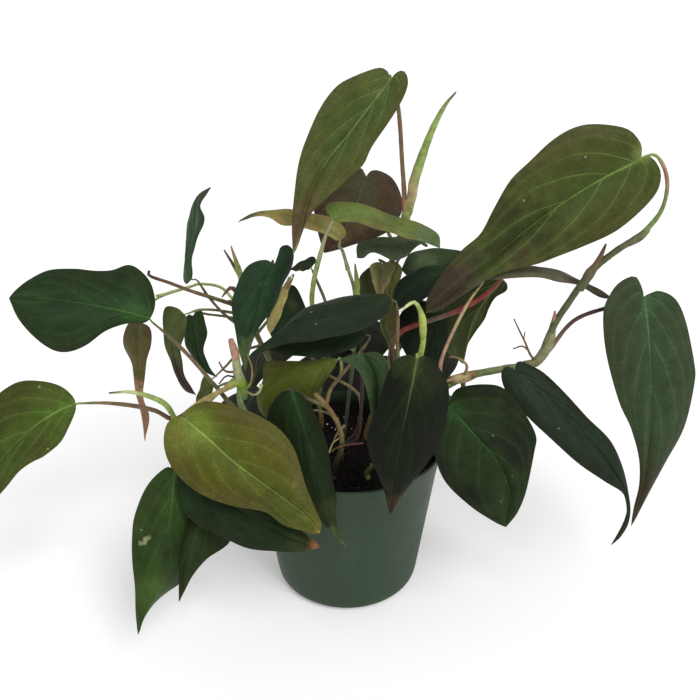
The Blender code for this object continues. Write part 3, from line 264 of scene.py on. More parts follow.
# Each leaf: its midrib as column, row and depth from the stalk to the tip, then its two margins as column
# and row.
# lean is how far each half goes back, for each millimetre it goes sideways in the picture.
LEAVES = [
    dict(name="leaf_top", colour=(68, 79, 36), lean=(-0.25, -0.1),
        rib=[(391, 79, 5), (350, 132, -5), (326, 162, -12), (310, 193, -19), (299, 240, -28),
            (293, 255, -30)],
        left=[(387, 71), (377, 68), (350, 78), (335, 88), (319, 110), (306, 139), (299, 162), (295, 188),
            (292, 220)],
        right=[(396, 73), (404, 71), (408, 84), (399, 106), (373, 145), (364, 164), (352, 175), (330, 195),
            (310, 215), (302, 233)]),
    dict(name="leaf_upper_right", colour=(66, 73, 31), lean=(0.1, -0.25),
        rib=[(640, 160, 18), (600, 180, 14), (560, 205, 8), (520, 235, 2), (480, 270, -6), (450, 297, -12),
            (426, 313, -16)],
        left=[(642, 150), (638, 139), (625, 128), (595, 124), (573, 128), (551, 141), (529, 162),
            (510, 181), (493, 210), (480, 234), (461, 251), (440, 277), (427, 298)],
        right=[(648, 156), (656, 162), (661, 175), (656, 193), (636, 215), (613, 233), (584, 246),
            (558, 256), (537, 264), (510, 270), (484, 281), (458, 298), (438, 311)]),
    dict(name="leaf_far_right", colour=(52, 66, 43), lean=(-0.2, 0.15),
        rib=[(643, 297, 0), (648, 329, -6), (651, 395, -16), (649, 439, -24), (641, 490, -34),
            (631, 526, -40)],
        left=[(640, 283), (634, 276), (620, 282), (610, 294), (603, 313), (606, 351), (618, 400),
            (631, 428), (639, 457), (639, 484), (634, 506)],
        right=[(649, 294), (660, 291), (676, 300), (687, 325), (694, 363), (694, 383), (685, 426),
            (665, 462), (647, 497)]),
    dict(name="leaf_lower_right", colour=(30, 40, 26), lean=(-0.5, 0.6),
        rib=[(515, 371, -37), (545, 395, -42), (580, 430, -48), (608, 463, -53), (626, 500, -57),
            (624, 530, -61), (611, 545, -63)],
        left=[(507, 366), (501, 373), (504, 388), (513, 401), (537, 426), (573, 459), (604, 481),
            (622, 493), (627, 508), (623, 524)],
        right=[(518, 361), (532, 366), (543, 372), (555, 383), (571, 400), (587, 417), (609, 439),
            (621, 464), (628, 488), (630, 509), (626, 527)]),
    dict(name="leaf_front_right", colour=(35, 48, 24), lean=(0.1, -0.25),
        rib=[(450, 408, -46), (477, 437, -50), (500, 465, -56), (510, 495, -62), (506, 527, -68)],
        left=[(446, 393), (436, 406), (432, 435), (436, 461), (446, 482), (470, 506), (495, 522)],
        right=[(452, 395), (461, 387), (484, 384), (504, 389), (524, 412), (536, 435), (534, 453),
            (526, 491), (517, 513)]),
    dict(name="leaf_front_middle", colour=(16, 21, 9), lean=(0.25, 0.2),
        rib=[(417, 359, -62), (411, 390, -66), (404, 424, -70), (396, 470, -75), (390, 516, -80)],
        left=[(409, 355), (395, 360), (386, 378), (379, 401), (370, 425), (367, 439), (370, 457),
            (378, 475), (384, 490)],
        right=[(425, 356), (435, 363), (446, 379), (449, 395), (446, 417), (437, 448), (426, 464),
            (404, 493)]),
    dict(name="leaf_small_folded", colour=(56, 74, 46), lean=(-0.9, -0.8),
        rib=[(363, 354, -42), (374, 372, -46), (377, 395, -50), (375, 417, -53), (368, 440, -56)],
        left=[(352, 355), (340, 360), (352, 365), (360, 374), (366, 388), (369, 402), (371, 420)],
        right=[(372, 352), (381, 354), (388, 364), (389, 382), (385, 402), (380, 420)]),
    dict(name="leaf_middle_lying", colour=(36, 50, 32), lean=(1.9, -1.6),
        rib=[(391, 299, -20), (370, 308, -20), (340, 315, -20), (305, 323, -22), (272, 341, -24),
            (249, 357, -26)],
        left=[(384, 294), (370, 294), (352, 296), (325, 301), (306, 308), (288, 323), (270, 340)],
        right=[(392, 304), (387, 314), (371, 325), (344, 335), (314, 340), (290, 343), (268, 350)]),
    dict(name="leaf_middle_under", colour=(34, 46, 30), lean=(1.2, -1.0),
        rib=[(366, 334, -12), (346, 341, -13), (323, 345, -15), (295, 345, -17), (266, 350, -20)],
        left=[(360, 328), (340, 328), (318, 330), (292, 336)],
        right=[(362, 342), (346, 351), (323, 357), (295, 356)]),
    dict(name="leaf_middle_left", colour=(36, 57, 37), lean=(-0.3, 0.9),
        rib=[(274, 265, -6), (264, 285, -9), (257, 312, -13), (248, 342, -19), (245, 372, -25)],
        left=[(267, 260), (257, 261), (247, 267), (239, 279), (234, 292), (232, 305), (234, 325),
            (239, 350)],
        right=[(278, 256), (281, 247), (288, 245), (293, 251), (293, 260), (290, 272), (283, 285),
            (276, 302), (270, 313), (259, 328), (251, 345)]),
    dict(name="leaf_far_left", colour=(32, 51, 25), lean=(0.9, -0.5),
        rib=[(150, 319, -8), (112, 309, -10), (67, 301, -12), (40, 299, -14), (9, 298, -18)],
        left=[(154, 310), (155, 299), (150, 282), (138, 269), (127, 265), (112, 270), (94, 271), (74, 269),
            (49, 270), (29, 280), (16, 290)],
        right=[(143, 323), (125, 324), (105, 331), (85, 346), (67, 352), (51, 349), (33, 336), (18, 318)]),
    dict(name="leaf_low_far_left", colour=(60, 71, 27), lean=(0.5, -0.4),
        rib=[(76, 404, -42), (57, 412, -45), (34, 427, -48), (20, 440, -50), (0, 461, -54),
            (-14, 486, -58), (-22, 515, -62)],
        left=[(73, 397), (65, 389), (55, 384), (40, 381), (22, 381), (8, 387), (-8, 401), (-20, 422),
            (-27, 452), (-27, 486)],
        right=[(75, 412), (69, 426), (60, 443), (44, 456), (32, 462), (20, 471), (8, 485), (-6, 500)]),
    dict(name="leaf_olive_front", colour=(76, 76, 22), lean=(0.35, -0.3),
        rib=[(185, 419, -58), (210, 440, -62), (234, 462, -66), (279, 495, -74), (305, 514, -80),
            (320, 533, -86)],
        left=[(186, 412), (199, 403), (216, 402), (243, 409), (265, 419), (283, 433), (296, 453),
            (305, 484), (314, 506), (321, 522)],
        right=[(178, 416), (167, 424), (164, 444), (171, 466), (189, 486), (212, 499), (238, 507),
            (265, 512), (284, 525), (303, 531), (313, 534)]),
    dict(name="leaf_under_olive", colour=(26, 41, 19), lean=(0.5, -0.3),
        rib=[(190, 466, -54), (215, 492, -60), (252, 517, -67), (290, 538, -74), (321, 547, -80)],
        left=[(200, 463), (225, 472), (255, 490), (280, 510), (299, 528)],
        right=[(181, 468), (178, 482), (180, 498), (185, 513), (198, 525), (222, 537), (247, 548),
            (274, 551), (300, 552)]),
    dict(name="leaf_low_left", colour=(40, 57, 20), lean=(0.2, 1.0),
        rib=[(174, 470, -56), (172, 500, -60), (168, 530, -66), (159, 563, -73), (148, 600, -82),
            (138, 635, -90)],
        left=[(167, 467), (155, 476), (146, 488), (138, 506), (133, 522), (132, 541), (133, 567),
            (135, 591), (136, 615)],
        right=[(182, 471), (194, 488), (202, 515), (202, 545), (193, 572), (179, 584), (164, 595),
            (152, 606), (143, 620)]),
    dict(name="leaf_low_left_inner", colour=(31, 45, 16), lean=(0.4, 0.2),
        rib=[(216, 506, -54), (198, 530, -61), (185, 560, -71), (181, 585, -77), (179, 602, -81)],
        left=[(207, 503), (192, 518), (182, 541), (179, 565), (179, 586)],
        right=[(225, 512), (231, 528), (229, 543), (208, 558), (193, 575), (184, 592)]),
    dict(name="leaf_front_left", colour=(24, 32, 14), lean=(0.1, 0.9),
        rib=[(292, 391, -40), (303, 425, -46), (314, 460, -52), (324, 495, -60), (334, 528, -67),
            (347, 548, -71)],
        left=[(284, 391), (273, 402), (267, 419), (271, 434), (284, 450), (297, 472), (309, 497),
            (322, 522)],
        right=[(300, 393), (312, 408), (319, 422), (326, 441), (330, 460), (332, 478), (336, 498),
            (336, 518), (339, 534)]),
    dict(name="leaf_olive_folded", colour=(71, 79, 22), lean=(0.8, 0.1),
        rib=[(337, 360, -24), (318, 371, -25), (295, 383, -26), (274, 400, -27), (268, 420, -28)],
        left=[(331, 358), (306, 361), (283, 361), (264, 363), (263, 380), (257, 395), (259, 409)],
        right=[(334, 368), (328, 377), (319, 390), (310, 408), (295, 420), (280, 425)]),
    dict(name="leaf_narrow_upright", colour=(50, 75, 50), lean=(2.2, -2.2),
        rib=[(191, 280, 10), (189, 257, 8), (194, 235, 6), (197, 214, 5), (198, 198, 4), (211, 187, 3)],
        left=[(186, 284), (183, 277), (186, 257), (187, 236), (189, 218), (194, 201)],
        right=[(193, 272), (192, 256), (199, 236), (204, 218), (201, 204)]),
    dict(name="leaf_left_hanging", colour=(90, 86, 48), lean=(0.9, -0.6),
        rib=[(140, 322, 15), (138, 345, 14), (140, 370, 12), (140, 392, 10), (146, 415, 8), (145, 441, 6)],
        left=[(130, 322), (124, 335), (124, 348), (133, 366), (135, 391), (141, 410)],
        right=[(150, 328), (151, 345), (147, 361), (144, 380), (144, 398), (149, 418)]),
    dict(name="leaf_olive_bit", colour=(88, 88, 46), lean=(0.5, -0.4),
        rib=[(211, 379, -2), (206, 388, -4), (201, 398, -5), (196, 411, -6)],
        left=[(204, 376), (200, 388), (196, 400)],
        right=[(214, 385), (211, 394), (204, 405)]),
    dict(name="leaf_olive_tailed", colour=(80, 82, 44), lean=(0.6, -0.6),
        rib=[(184, 314, 8), (175, 322, 6), (172, 338, 4), (175, 358, 2), (182, 378, 0), (196, 395, -2)],
        left=[(177, 308), (166, 307), (163, 320), (164, 341), (170, 358), (175, 374), (185, 390)],
        right=[(187, 319), (185, 333), (181, 348), (182, 362), (186, 378)]),
    dict(name="leaf_small_dark", colour=(36, 58, 32), lean=(0.6, -0.7),
        rib=[(193, 316, 18), (194, 335, 18), (198, 352, 17), (205, 367, 17), (217, 377, 16)],
        left=[(188, 315), (184, 325), (186, 345), (194, 360), (204, 371)],
        right=[(200, 310), (205, 320), (207, 333), (204, 350), (208, 364)]),
    dict(name="leaf_tan_strip", colour=(160, 146, 92), lean=(0.8, -0.2),
        rib=[(290, 277, 6), (285, 289, 5), (280, 306, 3), (270, 334, -2)],
        left=[(282, 288), (275, 306), (267, 324)],
        right=[(289, 288), (285, 303), (278, 322)]),
    dict(name="leaf_round_behind", colour=(38, 55, 40), lean=(0.4, -0.3),
        rib=[(284, 290, 32), (288, 306, 31), (290, 324, 29), (290, 346, 26)],
        left=[(277, 291), (270, 306), (267, 324), (274, 340)],
        right=[(293, 285), (301, 296), (306, 309), (307, 326)]),
    dict(name="leaf_small_behind", colour=(40, 55, 42), lean=(1.2, -1.0),
        rib=[(311, 267, 14), (303, 266, 14), (290, 270, 13)],
        left=[(316, 262), (314, 257), (306, 259), (297, 264)],
        right=[(308, 270), (302, 271), (296, 271)]),
    dict(name="leaf_tan_upper", colour=(150, 135, 75), lean=(1.9, -1.5),
        rib=[(341, 240, 4), (325, 228, 4), (300, 219, 3), (275, 215, 1), (256, 215, 0), (238, 222, -2)],
        left=[(346, 234), (343, 226), (333, 219), (311, 213), (293, 210), (272, 210), (255, 213)],
        right=[(336, 240), (328, 236), (316, 231), (300, 227), (283, 225), (270, 218), (254, 217)]),
    dict(name="leaf_purple_behind", colour=(84, 70, 52), lean=(0.1, 0.3),
        rib=[(365, 178, 32), (358, 200, 30), (345, 228, 27), (324, 253, 24)],
        left=[(362, 169), (350, 168), (333, 180), (315, 200), (317, 228)],
        right=[(371, 171), (380, 171), (393, 179), (401, 196), (401, 214), (388, 231), (371, 239),
            (356, 244), (340, 249)]),
    dict(name="leaf_light_green", colour=(104, 114, 58), lean=(1.1, -1.4),
        rib=[(333, 219, -12), (350, 216, -12), (375, 222, -11), (400, 231, -9), (420, 237, -7),
            (440, 248, -5)],
        left=[(327, 213), (327, 205), (334, 202), (350, 202), (374, 208), (400, 218), (422, 224),
            (438, 234)],
        right=[(338, 222), (350, 222), (365, 225), (380, 230), (400, 236), (419, 241)]),
    dict(name="leaf_dark_under", colour=(62, 72, 52), lean=(1.3, -1.2),
        rib=[(424, 242, 6), (402, 246, 5), (381, 247, 4), (365, 249, 4), (357, 258, 3)],
        left=[(419, 237), (405, 236), (388, 237), (371, 239), (358, 244)],
        right=[(414, 249), (405, 257), (395, 261), (384, 256), (371, 253), (363, 258)]),
    dict(name="leaf_brown_hanging", colour=(106, 98, 66), lean=(-0.8, 0.4),
        rib=[(382, 264, 13), (380, 274, 12), (379, 287, 10), (379, 299, 9)],
        left=[(376, 262), (370, 267), (372, 279), (375, 290)],
        right=[(389, 262), (395, 266), (390, 279), (384, 291)]),
    dict(name="leaf_dark_arc", colour=(22, 32, 26), lean=(1.2, -1.0),
        rib=[(446, 272, 8), (430, 279, 5), (412, 289, 2), (394, 305, -2)],
        left=[(438, 265), (425, 267), (407, 275), (394, 289)],
        right=[(444, 282), (432, 294), (420, 302), (406, 307)]),
    dict(name="leaf_long_dark", colour=(46, 60, 40), lean=(1.4, -0.5),
        rib=[(476, 266, 24), (450, 258, 24), (425, 260, 23), (401, 270, 20)],
        left=[(466, 254), (450, 249), (428, 249), (410, 254)],
        right=[(468, 275), (450, 276), (428, 279), (412, 279)]),
    dict(name="leaf_olive_behind", colour=(122, 110, 68), lean=(0.4, -0.3),
        rib=[(397, 262, 19), (390, 285, 18), (388, 305, 17), (392, 336, 15)],
        left=[(391, 264), (384, 280), (380, 300), (385, 322)],
        right=[(402, 270), (399, 288), (399, 308), (398, 324)]),
    dict(name="leaf_olive_behind_light", colour=(74, 70, 44), lean=(0.4, -0.3),
        rib=[(373, 266, 19), (368, 277, 18), (368, 290, 17), (373, 305, 16)],
        left=[(367, 269), (360, 277), (359, 290), (364, 300)],
        right=[(378, 271), (379, 284), (378, 297)]),
    # Painted shade: a dark leaf that fills the gap behind the shoot
    dict(name="leaf_dark_behind_shoot", colour=(32, 40, 28), lean=(0.4, -0.3),
        rib=[(441, 311, 15), (434, 330, 14), (428, 348, 12), (425, 370, 10)],
        left=[(430, 303), (413, 303), (400, 315), (398, 336), (410, 360)],
        right=[(447, 321), (447, 340), (439, 360)]),
    dict(name="leaf_dark_right", colour=(50, 60, 36), lean=(0.4, -0.3), joint_side=-1,
        rib=[(502, 279, 16), (487, 298, 18), (473, 322, 17), (463, 364, 12)],
        left=[(490, 279), (468, 286), (448, 299), (437, 320), (442, 346)],
        right=[(507, 284), (506, 291), (495, 298), (489, 308), (484, 320), (474, 334), (466, 348)]),
    dict(name="leaf_grey_edge", colour=(105, 98, 82), lean=(2.2, -1.6),
        rib=[(485, 277, -2), (520, 272, 2), (555, 276, 7), (590, 288, 12), (613, 299, 15)],
        left=[(496, 270), (520, 266), (538, 266), (556, 270), (578, 279), (600, 290)],
        right=[(496, 280), (520, 277), (538, 278), (556, 281), (576, 285), (600, 297)]),
]

# The plain leaves of the unseen back: stalk and tip, width, and the way the upper face looks.
BACK_LEAVES = [
    dict(name="leaf_back_high_left", colour=(48, 74, 44), base=(-38, 60, 128), tip=(-66, 92, 68), width=44,
        face=(-0.5, 0.75, 0.45)),
    dict(name="leaf_back_high_middle", colour=(66, 78, 40), base=(6, 70, 134), tip=(11, 106, 70), width=46,
        face=(0.0, 0.85, 0.5)),
    dict(name="leaf_back_high_right", colour=(42, 64, 44), base=(42, 58, 134), tip=(66, 90, 74), width=44,
        face=(0.45, 0.8, 0.4)),
    dict(name="leaf_back_low_left", colour=(36, 58, 36), base=(-12, 66, 113), tip=(-17, 88, 44), width=50,
        face=(-0.25, 0.92, 0.2)),
    dict(name="leaf_back_low_right", colour=(58, 72, 40), base=(19, 62, 112), tip=(25, 84, 44), width=51,
        face=(0.25, 0.92, 0.2)),
    dict(name="leaf_back_far_left", colour=(56, 76, 42), base=(-54, 44, 100), tip=(-78, 64, 38), width=44,
        face=(-0.35, 0.9, 0.3)),
    dict(name="leaf_back_far_right", colour=(46, 66, 42), base=(58, 42, 98), tip=(100, 60, 42), width=40,
        face=(0.75, 0.55, 0.3)),
]

# Half outline of a plain leaf, as shares of its length and of its width
PLAIN_OUTLINE = [(-0.07, 0.08), (-0.13, 0.22), (-0.08, 0.36), (0.06, 0.46), (0.25, 0.5), (0.45, 0.43),
    (0.65, 0.28), (0.8, 0.13), (0.92, 0.04)]
PLAIN_DROOP = 0.1
PLAIN_FOLD = 0.25

# How each leaf is painted, where it differs from the plain green look.
# halo is the colour beside the midrib, vein that of the veins, tip that of the blade's end from tip_from on,
# and under that of the underside. veins and rib say how clearly the side veins and the midrib show, fade how
# much of the midrib is left at the tip, and rib_end how wide it is there. halo_width is in millimetres, and
# halo_to is a share of the length. quilt is the height of the cushions between the veins. Each of the patches
# is a column, a row, a radius in millimetres, a colour and a strength.
LOOKS = {
    "leaf_top": dict(edge=(72, 72, 35), halo=(62, 80, 34), vein=(122, 138, 88), tip=(86, 68, 48),
        tip_from=0.8, veins=0.5, rib=0.9, fade=0.85, rib_end=0.6, quilt=0.6,
        patches=[(320, 195, 26, (80, 76, 41), 0.6), (306, 150, 16, (78, 78, 40), 0.4),
            (372, 86, 11, (88, 92, 42), 0.6), (352, 128, 9, (78, 84, 44), 0.5)]),
    "leaf_upper_right": dict(edge=(72, 68, 36), halo=(60, 78, 30), vein=(118, 142, 72), tip=(56, 46, 36),
        tip_from=0.84, veins=0.75, rib=1.0, fade=0.5, rib_end=0.4,
        patches=[(462, 281, 12, (94, 76, 72), 0.85), (446, 293, 9, (84, 64, 58), 0.7),
            (478, 258, 12, (62, 66, 36), 0.6), (486, 268, 9, (64, 76, 44), 0.4),
            (442, 303, 6, (58, 72, 40), 0.6), (452, 272, 9, (66, 54, 38), 0.6),
            (550, 236, 16, (50, 54, 26), 0.5), (504, 229, 28, (40, 44, 22), 0.65),
            (520, 264, 13, (76, 66, 42), 0.6), (470, 258, 10, (54, 54, 32), 0.6),
            (643, 154, 8, (128, 140, 82), 0.65), (525, 200, 1.0, (150, 160, 120), 0.7),
            (585, 157, 0.9, (150, 160, 120), 0.7)]),
    "leaf_far_right": dict(edge=(54, 62, 42), halo=(54, 76, 50), vein=(96, 124, 82), tip=(60, 54, 38),
        tip_from=0.78, veins=0.5, rib=0.8,
        patches=[(633, 513, 6, (116, 82, 62), 0.7)]),
    "leaf_lower_right": dict(edge=(30, 35, 25), halo=(33, 49, 32), vein=(60, 80, 58), veins=0.35, rib=0.4,
        patches=[(558, 427, 0.9, (140, 146, 120), 0.6)]),
    "leaf_front_right": dict(edge=(29, 32, 20), halo=(38, 58, 26), vein=(74, 116, 56), veins=0.4, rib=1.0,
        rib_end=0.5, halo_width=8.0,
        patches=[(520, 440, 20, (24, 31, 17), 0.8), (456, 410, 9, (42, 76, 34), 0.7),
            (494, 435, 0.9, (140, 146, 110), 0.6), (512, 476, 0.8, (140, 146, 110), 0.6),
            (501, 500, 0.8, (140, 146, 110), 0.6)]),
    "leaf_front_middle": dict(edge=(16, 20, 12), halo=(28, 40, 16), vein=(92, 108, 58), tip=(50, 38, 24),
        tip_from=0.9, veins=0.12, rib=0.9, fade=0.1, halo_to=0.55, halo_width=9.0,
        patches=[(389, 512, 0.9, (150, 92, 50), 0.8), (402, 361, 10, (44, 54, 25), 0.8),
            (430, 380, 13, (40, 46, 24), 0.5)]),
    "leaf_small_folded": dict(edge=(54, 68, 44), halo=(60, 82, 52), vein=(86, 108, 74), tip=(96, 98, 78),
        tip_from=0.88, veins=0.3, rib=0.3),
    "leaf_middle_lying": dict(edge=(36, 45, 32), halo=(36, 52, 34), vein=(62, 78, 56), veins=0.15, rib=0.3,
        quilt=0.2,
        patches=[(311, 313, 1.0, (150, 156, 140), 0.7), (317, 324, 0.9, (150, 156, 140), 0.7),
            (380, 303, 12, (44, 52, 34), 0.6)]),
    "leaf_middle_under": dict(edge=(32, 42, 30), vein=(52, 68, 48), veins=0.2, rib=0.3),
    "leaf_middle_left": dict(edge=(36, 52, 37), halo=(40, 65, 42), vein=(72, 98, 66), tip=(76, 92, 56),
        tip_from=0.8, veins=0.25, rib=0.35),
    "leaf_far_left": dict(edge=(36, 46, 26), halo=(36, 62, 28), vein=(74, 108, 54), veins=0.4, rib=0.9,
        fade=0.2, rib_end=0.5, quilt=0.6,
        patches=[(140, 286, 9, (54, 70, 38), 0.5), (131, 312, 9, (52, 92, 38), 0.5)]),
    "leaf_low_far_left": dict(edge=(62, 62, 27), halo=(70, 95, 31), vein=(118, 143, 72), veins=0.5,
        rib=1.0, rib_end=0.5, quilt=0.7,
        patches=[(20, 400, 12, (70, 74, 33), 0.6), (50, 394, 12, (74, 82, 32), 0.6),
            (58, 430, 12, (72, 90, 34), 0.6), (41, 388, 1.0, (160, 166, 120), 0.7),
            (47, 449, 1.0, (160, 166, 120), 0.7)]),
    "leaf_olive_front": dict(edge=(76, 68, 28), halo=(84, 98, 32), vein=(136, 158, 80), tip=(108, 88, 44),
        tip_from=0.985, veins=0.35, rib=1.0, fade=0.65, rib_end=0.6, quilt=0.6, halo_width=13.0,
        patches=[(178, 432, 18, (112, 114, 50), 0.6), (262, 445, 24, (88, 86, 30), 0.4),
            (199, 428, 13, (110, 128, 48), 0.6), (280, 512, 17, (62, 70, 25), 0.6),
            (301, 480, 8, (92, 94, 46), 0.5), (293, 484, 2.0, (122, 114, 52), 0.5),
            (189, 453, 0.7, (130, 132, 80), 0.6)]),
    "leaf_under_olive": dict(edge=(28, 37, 19), halo=(26, 46, 20), vein=(50, 78, 40), tip=(150, 96, 68),
        tip_from=0.975, veins=0.3, rib=0.5, fade=0.8,
        patches=[(296, 541, 9, (56, 62, 36), 0.7), (190, 500, 10, (30, 54, 26), 0.6)]),
    "leaf_low_left": dict(edge=(44, 60, 24), halo=(44, 70, 26), vein=(84, 112, 56), veins=0.4, rib=0.5,
        patches=[(152, 592, 14, (68, 90, 40), 0.7), (140, 520, 10, (56, 72, 34), 0.6),
            (166, 544, 10, (34, 48, 22), 0.8), (142, 530, 0.9, (150, 160, 120), 0.7),
            (142, 544, 1.8, (136, 140, 100), 0.9), (144, 542, 2.0, (142, 144, 106), 0.9),
            (146, 540, 2.0, (142, 144, 106), 0.9), (148, 538, 1.7, (136, 140, 100), 0.8)]),
    "leaf_low_left_inner": dict(edge=(34, 40, 20), halo=(34, 52, 18), vein=(64, 90, 40), tip=(52, 46, 34),
        tip_from=0.9, veins=0.4, rib=0.7),
    "leaf_front_left": dict(edge=(27, 32, 17), halo=(26, 44, 19), vein=(58, 94, 44), tip=(80, 90, 48),
        tip_from=0.9, veins=0.25, rib=0.4,
        patches=[(330, 510, 9, (60, 64, 30), 0.5)]),
    "leaf_olive_folded": dict(edge=(80, 79, 34), halo=(82, 93, 36), vein=(108, 118, 56), veins=0.6,
        rib=0.3, quilt=0.8),
    "leaf_narrow_upright": dict(tip=(64, 62, 46), tip_from=0.88, veins=0.1, rib=0.2),
    "leaf_left_hanging": dict(edge=(94, 72, 52), halo=(90, 88, 46), vein=(104, 98, 66), tip=(146, 112, 88),
        tip_from=0.57, under=(104, 94, 60), veins=0.15, rib=0.3,
        patches=[(138, 362, 7, (104, 98, 56), 0.6)]),
    "leaf_olive_tailed": dict(edge=(58, 64, 34), tip=(64, 54, 50), tip_from=0.65, veins=0.15, rib=0.2),
    "leaf_small_dark": dict(edge=(44, 58, 34), halo=(50, 72, 40), vein=(60, 84, 54), veins=0.15, rib=0.4),
    "leaf_tan_strip": dict(edge=(166, 150, 96), halo=(166, 156, 98), vein=(180, 168, 118), veins=0.2,
        rib=0.2,
        patches=[(288, 284, 4, (110, 84, 56), 0.8)]),
    "leaf_round_behind": dict(veins=0.2, rib=0.3,
        patches=[(292, 304, 5, (96, 86, 58), 0.5)]),
    "leaf_small_behind": dict(edge=(58, 54, 36), veins=0.2, rib=0.3,
        patches=[(300, 269, 5, (72, 62, 42), 0.7)]),
    "leaf_tan_upper": dict(edge=(156, 136, 84), halo=(146, 142, 82), vein=(168, 160, 104),
        tip=(84, 76, 62), tip_from=0.85, veins=0.2, rib=0.4,
        patches=[(332, 234, 10, (198, 196, 126), 0.9)]),
    "leaf_purple_behind": dict(edge=(74, 56, 45), halo=(68, 70, 52), vein=(100, 102, 78), tip=(98, 68, 58),
        tip_from=0.85, veins=0.5, rib=0.9, fade=0.8, rib_end=0.5,
        patches=[(352, 188, 12, (80, 78, 58), 0.7), (362, 180, 8, (84, 84, 62), 0.6)]),
    "leaf_light_green": dict(edge=(113, 94, 56), halo=(92, 115, 54), vein=(114, 138, 74),
        tip=(88, 102, 66), tip_from=0.8, veins=0.3, rib=0.4,
        patches=[(374, 226, 9, (108, 92, 54), 0.6), (340, 220, 8, (112, 128, 66), 0.6),
            (390, 218, 10, (86, 90, 52), 0.6)]),
    "leaf_dark_under": dict(edge=(68, 75, 57), halo=(90, 106, 80), under=(98, 106, 82), veins=0.2, rib=0.3),
    "leaf_brown_hanging": dict(edge=(142, 130, 92), halo=(120, 118, 78), under=(150, 137, 96), veins=0.2,
        rib=0.4),
    "leaf_dark_arc": dict(veins=0.15, rib=0.2),
    "leaf_long_dark": dict(edge=(48, 58, 38), halo=(56, 76, 42), veins=0.3, rib=0.3,
        patches=[(425, 262, 10, (84, 98, 66), 0.8)]),
    # Painted shade: the near-black look of the leaf that fills the gap behind the shoot
    "leaf_dark_behind_shoot": dict(edge=(26, 32, 22), veins=0.2, rib=0.2),
    "leaf_dark_right": dict(edge=(44, 52, 32), halo=(52, 66, 38), vein=(72, 86, 54), under=(76, 86, 47),
        veins=0.5,
        patches=[(455, 352, 9, (48, 58, 30), 0.8)], rib=0.5),
    "leaf_grey_edge": dict(edge=(98, 86, 72), halo=(90, 90, 66), tip=(66, 62, 48), tip_from=0.7, veins=0.1,
        rib=0.3),
    # Painted shade: the undersides of these back leaves, seen through the gaps, are painted near black
    "leaf_back_low_left": dict(under=(30, 24, 20)),
    "leaf_back_low_right": dict(under=(32, 26, 20)),
    "leaf_back_far_left": dict(under=(30, 28, 20)),
    "leaf_back_high_middle": dict(under=(40, 36, 24)),
}
PLAIN_LOOK = dict(veins=0.35, rib=0.6, rib_end=0.3, fade=0.4, halo_width=11.0, halo_to=0.9, quilt=QUILT,
    patches=())
PATCH_CORE = 0.25
SHEEN_WEIGHT = 0.05
SHEEN_TINT = (0.80, 0.92, 0.84, 1.0)
FLECK_GREEN = (0.94, 1.04, 0.92, 1.0)
FLECK_BROWN = (1.07, 0.97, 1.04, 1.0)

LEAF_BY_NAME = {leaf["name"]: leaf for leaf in LEAVES + BACK_LEAVES}


def smooth(points, count):
    """The points joined by an even curve and spaced alike along it."""
    points = np.asarray(points, float)
    ends = np.vstack([2 * points[0] - points[1], points, 2 * points[-1] - points[-2]])
    share = np.linspace(0, 1, CURVE_STEPS + 1)[:-1, None]
    spans = []
    for a, b, c, d in zip(ends, ends[1:], ends[2:], ends[3:]):
        bend = 2 * a - 5 * b + 4 * c - d
        twist = 3 * b - a - 3 * c + d
        spans.append(b + 0.5 * share * (c - a + share * (bend + share * twist)))
    line = np.vstack(spans + [points[-1:]])
    steps = np.linalg.norm(np.diff(line, axis=0), axis=1)
    length = np.concatenate([[0], np.cumsum(steps)])
    wanted = np.linspace(0, length[-1], count)
    return np.column_stack([np.interp(wanted, length, line[:, i]) for i in range(line.shape[1])])


def arch(share):
    """Nought at both ends of the share and one in its middle."""
    return 4 * share * (1 - share)


def margin_depth(rib, col_row, lean):
    """How deep a margin point lies: that of the midrib beside it, and more or less by the lean."""
    start = rib[0, :2]
    onward = rib[START_POINT, :2] - start
    onward_length = np.linalg.norm(onward)
    onward = onward / onward_length
    behind = float(np.dot(col_row - start, onward))
    if behind < 0:
        slope = (rib[START_POINT, 2] - rib[0, 2]) / onward_length
        aside = np.linalg.norm(col_row - start - behind * onward)
        return rib[0, 2] + slope * behind + lean * aside * PICTURE_STEP
    away = np.linalg.norm(rib[:, :2] - col_row, axis=1)
    nearest = int(np.argmin(away))
    return rib[nearest, 2] + lean * away[nearest] * PICTURE_STEP


def placed_margin(leaf, side, lean, count):
    """One margin of a leaf that the picture shows, with its depths evened out."""
    rib = smooth(leaf["rib"], DEPTH_POINTS)
    flat = smooth([leaf["rib"][0][:2]] + leaf[side] + [leaf["rib"][-1][:2]], count)
    depths = np.array([margin_depth(rib, point, lean) for point in flat])
    for _ in range(DEPTH_SMOOTHING):
        depths[1:-1] = (depths[:-2] + depths[1:-1] + depths[2:]) / 3
    return np.array([at(point[0], point[1], depth) for point, depth in zip(flat, depths)])


def placed_lines(leaf, lines):
    """Midrib and both margins of a leaf that the picture shows."""
    rib = np.array([at(*point) for point in smooth(leaf["rib"], RIB_POINTS)])
    left = placed_margin(leaf, "left", leaf["lean"][0], lines + 1)
    right = placed_margin(leaf, "right", leaf["lean"][1], lines + 1)
    return rib, left, right


def plain_lines(leaf, lines):
    """Midrib and both margins of a leaf at the back."""
    base = spot(*leaf["base"])
    onward = spot(*leaf["tip"]) - base
    length = np.linalg.norm(onward)
    face = spot(*leaf["face"])
    face -= onward * np.dot(face, onward) / length**2
    face /= np.linalg.norm(face)
    aside = np.cross(face, onward / length)

    def point(along, across):
        rise = PLAIN_DROOP * arch(along) - PLAIN_FOLD * abs(across) * leaf["width"] / length
        return base + onward * along + aside * across * leaf["width"] + face * rise * length

    rib = np.array([point(share, 0) for share in np.linspace(0, 1, RIB_POINTS)])
    sides = []
    for sign in (-1, 1):
        outline = [point(along, sign * across) for along, across in PLAIN_OUTLINE]
        sides.append(smooth([rib[0]] + outline + [rib[-1]], lines + 1))
    return rib, sides[0], sides[1]


